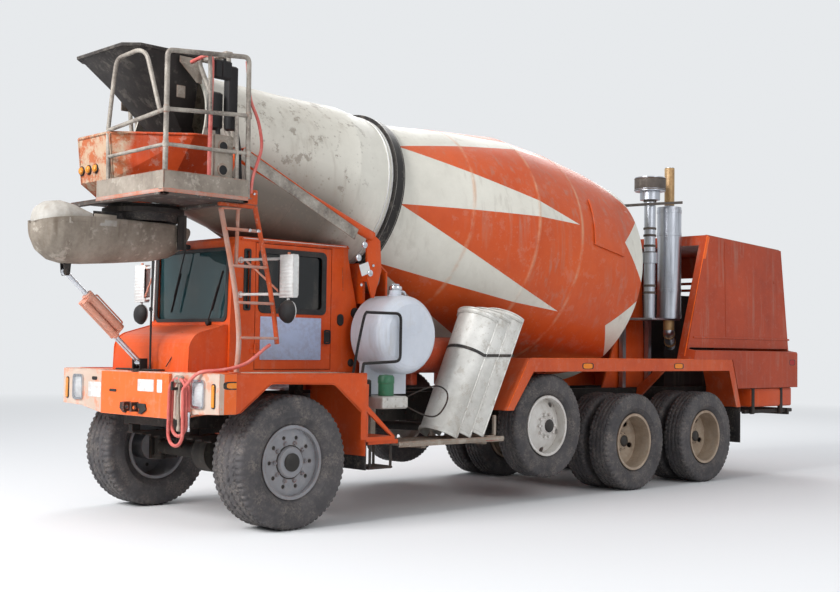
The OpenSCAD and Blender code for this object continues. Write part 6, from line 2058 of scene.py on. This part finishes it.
@dataclass
class Mirrors:
    """Mirror glasses, ribbed backs, arm clamps and the round wide-angle glass with its bowl."""

    y: float = 1.12
    flat_z: float = 2.055
    round_z: float = 1.77

    def build(self) -> None:
        """Glasses, backs and arms on both sides."""
        glass, shells, arms, dark = Skin(), Skin(), Skin(), Skin()
        glass.prism(rounded(0.15, 0.315, 0.02, 5), (0.0098, self.y, self.flat_z), SOUTH, SKY, 0.002, 0.0008)
        glass.lathe([(0.001, 0), (0.074, 0.0005), (0.074, 0.003), (0.05, 0.01), (0.001, 0.014)],
                    (0.0148, self.y, self.round_z), WEST, 32)
        glass.both().piece("mirror_glasses", BRIGHT)
        shells.band(rounded(0.184, 0.354, 0.03, 6), rounded(0.156, 0.322, 0.02, 6),
                    (0.0102, self.y, self.flat_z), SOUTH, SKY, 0.007)
        u, v = np.meshgrid(np.linspace(-1, 1, 15), np.linspace(-1, 1, 61), indexing="ij")
        ripple = 0.003 * np.cos(v * 36.0)
        grid = np.stack([0.0585 + 0.022 * (1 - u**4) * (1 - v**4) + ripple * (1 - u**4), self.y + 0.088 * u,
                         self.flat_z + 0.172 * v], -1)
        shells.sheet(grid, 0.004)
        shells.both().piece("mirror_backs", MIRROR_SHELL)
        dark.lathe([(0.09, 0.0), (0.096, 0.003), (0.094, 0.018), (0.078, 0.044), (0.045, 0.062),
                    (0.004, 0.068)],
                   (0.03, self.y, 1.765), EAST, 36)
        dark.strap([(0.06, self.y - 0.093, 1.92), (0.06, self.y - 0.093, 2.19)], 0.016, 0.01, EAST)
        dark.both().piece("mirror_bowls", TRIM)
        arms.tube([(0.035, self.y, 1.86), (0.035, self.y, 2.25)], 0.012, 10)
        arms.tube([(0.15, 0.7, 2.185), (0.055, 1.03, 1.925)], 0.009, 8)
        for z in (1.91, 2.2):
            arms.lathe([(0.0125, -0.02), (0.018, -0.016), (0.018, 0.016), (0.0125, 0.02)],
                       (0.035, 1.04, z), NORTH, 14)
            arms.heads([(0.155 + dx, 0.6305, z + dz) for dx in (-0.016, 0.016) for dz in (-0.014, 0.014)],
                       NORTH, 0.01, 0.005)
        arms.both().piece("mirror_arm_clamps", BARREL)


@dataclass
class DrumDress:
    """Hatch, seam beads, ring edges and bolts that turn with the drum."""

    back_x: float = -5.45
    height: float = 2.155
    tilt: float = math.radians(10.7)
    seams: tuple[float, ...] = (1.81, 2.446, 3.217, 5.058)
    steps: int = 144
    profile: tuple[tuple[float, float], ...] = (
        (0.0, 0.535), (0.72, 1.183), (1.18, 1.205), (1.81, 1.205), (2.446, 1.165), (3.217, 0.985),
        (3.99, 0.79), (4.52, 0.79), (5.058, 0.7), (6.065, 0.56))

    def axis(self) -> np.ndarray:
        """Unit vector along the drum, forwards and up."""
        return np.array([math.cos(self.tilt), 0, math.sin(self.tilt)])

    def at(self, s: np.ndarray, angle: np.ndarray, out: np.ndarray | float = 0.0) -> np.ndarray:
        """Points on the skin: foot of the axis + s along it + (radius(s) + out) round it.

        Args:
            s: Distance along the axis.
            angle: Angle from the top, towards the left.
            out: Distance outside the skin.

        Returns:
            The points, with the shape of s and angle together.
        """
        s, angle = np.broadcast_arrays(s, angle)
        known = np.array(self.profile)
        r = np.interp(s, known[:, 0], known[:, 1]) + out
        up = np.array([-math.sin(self.tilt), 0, math.cos(self.tilt)])
        return (np.array([self.back_x, 0, self.height]) + s[..., None] * self.axis()
                + (r * np.cos(angle))[..., None] * up + (r * np.sin(angle))[..., None] * np.array(NORTH))

    def hoop(self, skin: Skin, s: float, section: Sequence[tuple[float, float]]) -> None:
        """Adds a hoop round the drum at s, with a section of (along the axis, out of the skin)."""
        turn = np.linspace(0, 2 * math.pi, self.steps + 1)[:-1]
        skin.shell(np.stack([self.at(np.full(self.steps, s + d), turn, h) for d, h in section]), True)

    def build(self) -> None:
        """Hatch frame with its bolts, weld seams and polished edges of the running ring."""
        seams, edge = Skin(), Skin()
        for s in self.seams:
            self.hoop(seams, s, ((-0.008, -0.004), (-0.004, 0.0012), (0.004, 0.0012), (0.008, -0.004)))
        seams.piece("drum_weld_seams", DRUM, "drum")
        for s in (4.135, 4.175):
            self.hoop(edge, s, ((-0.004, -0.004), (-0.004, 0.01), (0.006, 0.01), (0.006, -0.004)))
        edge.piece("ring_edge_bands", BLANK, "drum")
        hatch, bolts = Skin(), Skin()
        u, v = np.meshgrid(np.linspace(1.1, 1.62, 14), np.radians(np.linspace(59, 84, 18)), indexing="ij")
        hatch.sheet(self.at(u, v, 0.006)[:, ::-1], 0.014)
        hatch.piece("drum_hatch", DRUM, "drum")
        ring = [(s, a) for s in np.linspace(1.125, 1.595, 13) for a in (60.4, 82.6)]
        ring += [(s, a) for s in (1.125, 1.595) for a in np.linspace(62.5, 80.5, 11)]
        for s, a in ring:
            spot = self.at(np.array(s), np.array(math.radians(a)), 0.006)
            foot = np.array([self.back_x, 0, self.height]) + self.axis() * s
            bolts.heads([tuple(spot)], spot - foot, 0.024, 0.01)
        bolts.piece("hatch_bolts", FRAME_BLACK, "drum")
        ribs = Skin()
        for s, r in ((4.02, 0.8352), (4.11, 0.8352)):
            ribs.lathe([(r - 0.003, 0), (r + 0.0005, 0.001), (r + 0.0005, 0.007), (r - 0.003, 0.008)],
                       tuple(np.array([self.back_x, 0, self.height]) + self.axis() * s),
                       self.axis(), 96, True)
        ribs.piece("ring_polish_lines", ROLLER, "drum")


@dataclass
class Midship:
    """Tank caps, grab tube, second tank, valve tray, spare chutes' edges, steps and pedestal bolts."""

    tank_x: float = -1.36
    tank_z: float = 1.6
    tank_r: float = 0.355
    grab_y: float = 1.16
    reservoir: Triple = (-1.76, 0.62, 1.42)
    spare_foot: Triple = (-1.862, 0.985, 0.6685)
    spare_pitch: float = 0.175
    spare_lean: float = math.radians(26)
    pedestal_y: float = 0.8122

    def build(self) -> None:
        """All the pieces between the cab and the rear wheels."""
        self.tanks()
        self.spares()
        self.steps()
        self.pedestal()

    def tanks(self) -> None:
        """Filler caps, gauge, grab tube, the smaller tank behind, and the valve tray with its green cap."""
        caps, grab = Skin(), Skin()
        top = self.tank_z + self.tank_r + 0.0505
        caps.lathe([(0.03, 0.0), (0.06, 0.001), (0.062, 0.02), (0.058, 0.034), (0.04, 0.04), (0.004, 0.041)],
                   (self.tank_x, 0.9, top), SKY, 32)
        caps.slab((self.tank_x - 0.045, self.tank_x + 0.045), (0.893, 0.907),
                  (top + 0.04, top + 0.058), 0.005)
        caps.tube(bent([(self.tank_x - 0.12, 0.9, self.tank_z + 0.3), (self.tank_x - 0.12, 0.9, top - 0.01),
                        (self.tank_x - 0.05, 0.9, top - 0.01)], 0.03), 0.011, 8)
        caps.both().piece("tank_filler_caps", BRIGHT)
        y = self.grab_y
        grab.tube(bent([(-0.78, y, 1.785), (-1.19, y, 1.785), (-1.19, y, 1.365), (-0.76, y, 1.345)], 0.06),
                  0.013, 12)
        grab.tube([(-0.76, y, 1.3455), (-0.745, y, 1.262)], 0.013, 12)
        grab.tube(bent([(-0.785, y, 1.785), (-0.76, y, 1.76), (-0.745, 1.1, 1.5), (-0.74, 1.05, 1.262)], 0.1),
                  0.012, 10)
        grab.piece("entry_grab_tube", TRIM)
        second = Skin()
        second.lathe([(0.02, 0.0), (0.12, 0.006), (0.16, 0.03), (0.172, 0.07), (0.172, 0.8), (0.16, 0.83),
                      (0.02, 0.84)],
                     self.reservoir, WEST, 40)
        for x in (-1.9, -2.4):
            second.lathe([(0.1715, -0.02), (0.176, -0.018), (0.176, 0.018), (0.1715, 0.02)],
                         (x, *self.reservoir[1:]), WEST, 40, True)
            second.slab((x - 0.04, x + 0.04), (0.4, 0.6), (1.13, 1.26), 0.006)
        second.both().piece("air_reservoirs", SECOND_TANK)
        tray, silver, green = Skin(), Skin(), Skin()
        tray.slab((-1.36, -1.04), (0.44, 0.82), (0.985, 1.04), 0.008)
        tray.slab((-0.785, -0.745), (1.15, 1.185), (0.655, 1.16), 0.004)
        tray.lathe([(0.02, 0), (0.035, 0.003), (0.035, 0.14), (0.02, 0.15)], (-1.02, 0.92, 1.0502), SKY, 20)
        wire = [(-1.34, 1.06, 0.97), (-1.46, 1.19, 0.888), (-1.62, 1.195, 0.88), (-1.735, 1.195, 0.985),
                (-1.742, 1.195, 1.09),
                (-1.62, 1.185, 1.145), (-1.46, 1.13, 1.1), (-1.34, 1.05, 1.03)]
        tray.tube(flow(wire, 5), 0.0075, 8)
        tray.piece("valve_tray", FRAME_BLACK)
        silver.slab((-1.35, -1.04), (0.8, 1.1), (0.945, 1.055), 0.012)
        silver.heads([(x, 1.1005, z) for x in (-1.3, -1.2, -1.1) for z in (0.97, 1.03)], NORTH, 0.018, 0.008)
        silver.piece("valve_box_midship", SPARE)
        green.lathe([(0.05, 0), (0.07, 0.003), (0.07, 0.11), (0.074, 0.112), (0.074, 0.165), (0.06, 0.185),
                     (0.01, 0.19)],
                    (-1.17, 1.0, 1.0552), SKY, 28)
        green.piece("green_filler_cap", GREEN_CAP)
        frame_bar = Skin()
        frame_bar.slab((-0.79, -0.748), (1.188, 1.2), (0.652, 1.17), 0.003)
        frame_bar.slab((-1.14, -0.75), (1.188, 1.2), (0.652, 0.69), 0.003)
        frame_bar.piece("entry_step_frame", ORANGE)

    def spares(self) -> None:
        """Webbing round the three nested spare chutes and their rolled edges and lips."""
        lean = self.spare_lean
        out = np.array([-math.sin(lean), 0, math.cos(lean)])
        side = np.array([math.cos(lean), 0, math.sin(lean)])
        edge = Skin()
        a = np.linspace(-math.pi / 2, math.pi / 2, 25)
        feet = [np.array(self.spare_foot) - (self.spare_pitch * k, 0, 0) for k in range(3)]
        for foot in feet:
            for s in (1, -1):
                t = np.linspace(0.03, 1.225, 8)[:, None]
                r = 0.195 + 0.02 * t / 1.244
                edge.tube(foot + out * t + np.array(NORTH) * s * (r - 0.002) + side * (-0.03), 0.0085, 8)
            for at, radius, thick in ((1.236, 0.2235, 0.0105), (1.196, 0.2195, 0.0085),
                                      (0.03, 0.2005, 0.0065)):
                turn = np.cos(a)[:, None] * side + np.sin(a)[:, None] * np.array(NORTH)
                hoop = foot + out * at + radius * turn
                edge.tube(hoop, thick, 8)
        edge.piece("spare_chute_edges", SPARE)
        strap = Skin()
        r = 0.2125
        front = feet[0] + out * 0.84 + r * (np.cos(a)[:, None] * side + np.sin(a)[:, None] * np.array(NORTH))
        back = feet[2] + out * 0.84 + np.array([(-0.06, r, 0.0), (-0.06, -r, 0.0)])
        strap.strap(np.vstack([front, back]), 0.03, 0.004, out, True)
        strap.piece("spare_chute_strap", FLAP_RUBBER)
        lip = Skin()
        lip.slab((-2.425, -2.395), (1.155, 1.185), (0.655, 0.86), 0.004)
        lip.slab((-2.425, -2.3), (1.155, 1.185), (0.655, 0.672), 0.004)
        lip.piece("step_end_stop", GALVANISED)
        glow = Skin().prism(rounded(0.16, 0.028, 0.005), (-2.33, 1.214, 0.64), WEST, SKY, 0.0055, 0.002)
        glow.both().piece("side_step_reflectors", RED)

    def steps(self) -> None:
        """Raised tread bars and a turned edge on the side steps, and the low entry steps."""
        bars = Skin()
        for x in np.arange(-2.46, -1.16, 0.085):
            bars.strap([(x, 0.79, 0.6568), (x, 1.19, 0.6568)], 0.014, 0.006, EAST)
        bars.slab((-2.5, -1.14), (1.208, 1.2145), (0.615, 0.6635), 0.002)
        bars.both().piece("side_step_treads", GALVANISED)
        low = Skin()
        low.slab((-1.08, -0.8), (0.96, 1.2), (0.44, 0.462), 0.006)
        for x in (-1.06, -0.82):
            for y in (0.97, 1.19):
                low.strap([(x, y, 0.44), (x, y, 0.69)], 0.03, 0.006, EAST)
        low.both().piece("hanging_entry_steps", FRAME_BLACK)

    def pedestal(self) -> None:
        """Bolts, pin ends and the blank label on the roller pedestals and the hopper braces."""
        pins = Skin()
        for x, z in ((-1.05, 2.4), (-0.98, 2.28), (-1.12, 2.15)):
            pins.lathe([(0.01, 0), (0.03, 0.001), (0.03, 0.014), (0.018, 0.018), (0.003, 0.019)],
                       (x, self.pedestal_y, z), NORTH, 20)
        pins.heads([(-1.16, self.pedestal_y, 2.22), (-1.02, self.pedestal_y, 2.04)], NORTH, 0.026, 0.012)
        pins.both().piece("pedestal_pins", BRIGHT)
        label = Skin().prism(rounded(0.115, 0.105, 0.006) @ np.array([[0.94, 0.34], [-0.34, 0.94]]),
                             (-1.065, self.pedestal_y, 2.185), WEST, SKY, 0.0018, 0.0007)
        label.piece("blank_pedestal_label", BLANK)


@dataclass
class RearBody:
    """Hood seams, silencer dress, guard edges and the box under the tail."""

    stack_x: float = -5.9
    intake_x: float = -5.51
    stack_y: float = 0.74

    def build(self) -> None:
        """All the rear pieces."""
        self.hood()
        self.stack()
        self.guards()
        self.under()

    def skin_y(self, z: float) -> float:
        """Half width of the hood's side at a height."""
        return float(np.interp(z, [1.06, 1.5, 1.52, 2.86], [1.22, 1.22, 1.105, 1.08]))

    def hood(self) -> None:
        """One faint seam, a shoulder ledge, the roof lip and the frame of the front opening in sunlit orange,
        a painted highlight.
        """
        seams, lips, bright = Skin(), Skin(), Skin()
        path = np.array([(-6.55, self.skin_y(z) + 0.001, z) for z in np.linspace(1.66, 2.8, 8)])
        seams.strap(path, 0.008, 0.004, EAST)
        path = np.array([(x, self.skin_y(1.655) + 0.004, 1.655) for x in np.linspace(-8.02, -5.86, 8)])
        seams.strap(path, 0.022, 0.01, SKY)
        seams.strap([(-7.72, self.skin_y(2.37) + 0.001, 2.37), (-7.66, self.skin_y(2.37) + 0.001, 2.37)],
                    0.04, 0.006, SKY)
        seams.both().piece("hood_seam_and_ledge", HOOD_PAINT)
        front = [(-5.712, 1.075, 1.43), (-6.182, 1.068, 2.845)]
        bright.strap(np.array([front[0], np.mean(front, 0), front[1]]) + (-0.02, 0.01, 0),
                     0.012, 0.055, NORTH)
        bright.both().piece("hood_front_frame", SUNLIT_ORANGE)
        lips.strap([(-6.2, 1.05, 2.861), (-7.0, 1.05, 2.826), (-7.85, 1.05, 2.789)], 0.02, 0.01, NORTH)
        lips.both().piece("hood_lips", PEELING)

    def stack(self) -> None:
        """Silencer clamps, tan stack tip, rain cap edge, support bars, elbow sleeves and intake bands."""
        bands, tip, cap = Skin(), Skin(), Skin()
        for z in (1.9, 2.2, 2.86, 3.13):
            bands.lathe([(0.139, -0.02), (0.1445, -0.018), (0.1445, 0.018), (0.139, 0.02)],
                        (self.stack_x, self.stack_y, z), SKY, 48, True)
        bands.strap([(-5.95, 0.58, 3.175), (-6.25, 0.58, 3.2)], 0.035, 0.008, SKY)
        bands.piece("stack_clamps", SILENCER)
        for z in (2.16, 2.24, 2.62, 2.7, 2.82, 2.9, 3.22):
            cap.lathe([(0.064, -0.014), (0.074, -0.011), (0.074, 0.011), (0.064, 0.014)],
                      (self.intake_x, self.stack_y, z), SKY, 32, True)
        for z in (3.345, 3.475):
            cap.lathe([(0.172, -0.006), (0.1805, -0.004), (0.1805, 0.004), (0.172, 0.006)],
                      (self.intake_x, self.stack_y, z), SKY, 56, True)
        cap.lathe([(0.176, 0.0), (0.179, 0.006), (0.179, 0.11), (0.172, 0.118), (0.12, 0.128),
                   (0.004, 0.131)],
                  (self.intake_x, self.stack_y, 3.355), SKY, 56)
        cap.strap([(-4.93, 0.8, 3.11), (-5.4, 0.83, 3.17), (-5.95, 0.886, 3.235)], 0.032, 0.01, SKY)
        cap.piece("rain_cap_and_bands", CAP_STEEL)
        tip.lathe([(0.0555, 0.0), (0.058, 0.002), (0.058, 0.44), (0.0555, 0.445)],
                  (self.stack_x, self.stack_y, 3.2), SKY, 32, True)
        a, b = np.array([self.stack_x, self.stack_y, 1.72]), np.array([-6.23, 0.54, 1.56])
        axis = unit(b - a)
        for at in (0.07, 0.3):
            tip.lathe([(0.061, -0.02), (0.069, -0.017), (0.069, 0.017), (0.061, 0.02)], tuple(a + axis * at),
                      axis, 28, True)
        tip.lathe([(0.0605, 0.0), (0.064, 0.002), (0.064, 0.12), (0.0605, 0.122)],
                  (self.stack_x, self.stack_y, 1.735), SKY, 28, True)
        tip.piece("heat_tanned_sleeves", STACK)

    def guards(self) -> None:
        """Turned edges of the rear wheel guards in sunlit orange as a painted highlight, and the bars that
        the mudflaps hang from.
        """
        edges = Skin()
        path = bent([(-2.545, 1.215, 0.905), (-2.865, 1.215, 1.401), (-6.5, 1.215, 1.401),
                     (-6.688, 1.215, 0.845)], 0.04)
        edges.strap(path, 0.009, 0.008, NORTH)
        edges.both().piece("guard_edge_beads", SUNLIT_ORANGE)
        hang = Skin()
        for x, z, inner in ((-0.757, 0.664, 0.83), (-6.697, 0.846, 0.64)):
            hang.slab((x - 0.014, x + 0.014), (inner, 1.2), (z - 0.03, z + 0.012), 0.003)
        hang.both().piece("mudflap_hangers", FRAME_BLACK)

    def under(self) -> None:
        """Tool box below the tail, its lid, and bolts along the chassis rails."""
        box = Skin()
        box.slab((-7.94, -6.98), (0.55, 1.185), (0.83, 1.058), 0.012)
        box.both().piece("tail_boxes", ORANGE)
        trim = Skin()
        trim.slab((-7.9, -7.02), (1.1855, 1.191), (0.85, 1.03), 0.004)
        trim.both().piece("tail_box_lids", ORANGE)
        bar = Skin()
        bar.slab((-8.02, -6.9), (1.1, 1.15), (0.75, 0.795), 0.006)
        for x in (-7.02, -7.68):
            bar.slab((x - 0.03, x + 0.03), (1.152, 1.196), (0.745, 1.14), 0.006)
        bar.slab((-7.3, -6.82), (1.195, 1.212), (1.15, 1.205), 0.006)
        bar.both().piece("tail_brackets", FRAME_BLACK)
        rail = Skin()
        for x in np.arange(-7.6, 0.4, 0.4):
            rail.heads([(float(x) + dx, 0.4302, z) for dx in (-0.05, 0.05) for z in (0.86, 0.98)],
                       NORTH, 0.024, 0.012)
        rail.both().piece("frame_rail_bolts", FRAME_BLACK)


@dataclass
class Running:
    """Spring clips, brake chambers and drive shaft along the chassis."""

    shaft_front: Triple = (-0.9, 0.0, 0.8)
    shaft_back: Triple = (-4.42, 0.0, 0.56)
    chambers: tuple[Triple, ...] = ((-4.4, 0.53, 0.66), (-6.23, 0.53, 0.66))

    def build(self) -> None:
        """Pieces under the frame."""
        gear = Skin()
        for x in (-0.12, 0.12):
            for y in (0.33, 0.45):
                gear.tube([(x, y, 0.6), (x, y, 0.745)], 0.009, 8)
        gear.both()
        ahead, behind = np.array(self.shaft_front), np.array(self.shaft_back)
        gear.tube(np.linspace(ahead, behind, 4), 0.045, 20)
        for at in (0.05, 0.5, 0.95):
            gear.lathe([(0.045, -0.04), (0.07, -0.03), (0.07, 0.03), (0.045, 0.04)],
                       tuple(ahead + (behind - ahead) * at),
                       behind - ahead, 24)
        gear.piece("running_gear", FRAME_BLACK)
        pots = Skin()
        for foot in self.chambers:
            pots.lathe([(0.02, 0), (0.075, 0.004), (0.085, 0.03), (0.092, 0.055), (0.085, 0.08),
                        (0.075, 0.12), (0.02, 0.125)], foot, SKY, 28)
        pots.both().piece("brake_chambers", FRAME_BLACK)


def dress_frame() -> None:
    """Gives each CAD node listed in FINISHED_NODES its finish."""
    for name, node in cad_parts.items():
        finish = NODE_FINISH.get(name)
        if finish is None:
            continue
        made = finish.material()
        node.data.materials.clear()
        node.data.materials.append(made)
        log.info("%s: %s", name, finish.name)


def warn_outside() -> None:
    """Logs each piece that stands outside the CAD's box by more than a fifth of a millimetre."""
    slack = 2e-4
    low, high = np.array(CAD_BOX[0]) - slack, np.array(CAD_BOX[1]) + slack
    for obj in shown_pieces():
        if obj.type != "MESH":
            continue
        corners = np.array([obj.matrix_world @ v.co for v in obj.data.vertices])
        if (corners.min(0) < low).any() or (corners.max(0) > high).any():
            log.warning("%s stands outside the CAD box: %s %s", obj.name, corners.min(0).round(4),
                        corners.max(0).round(4))


def main() -> None:
    """Builds the studio and the cord first, then every sub-assembly."""
    logging.basicConfig(level=logging.INFO, format="%(name)s %(message)s")
    for part in (Studio(), WaterHose(), Wheels(), FrontEnd(), Cab(), Discharge(), Ladder(), Mirrors(),
                 DrumDress(), Midship(), RearBody(), Running()):
        part.build()
        log.info("%s is done", type(part).__name__)
    dress_frame()
    warn_outside()
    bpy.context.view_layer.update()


if __name__ == "__main__":
    main()
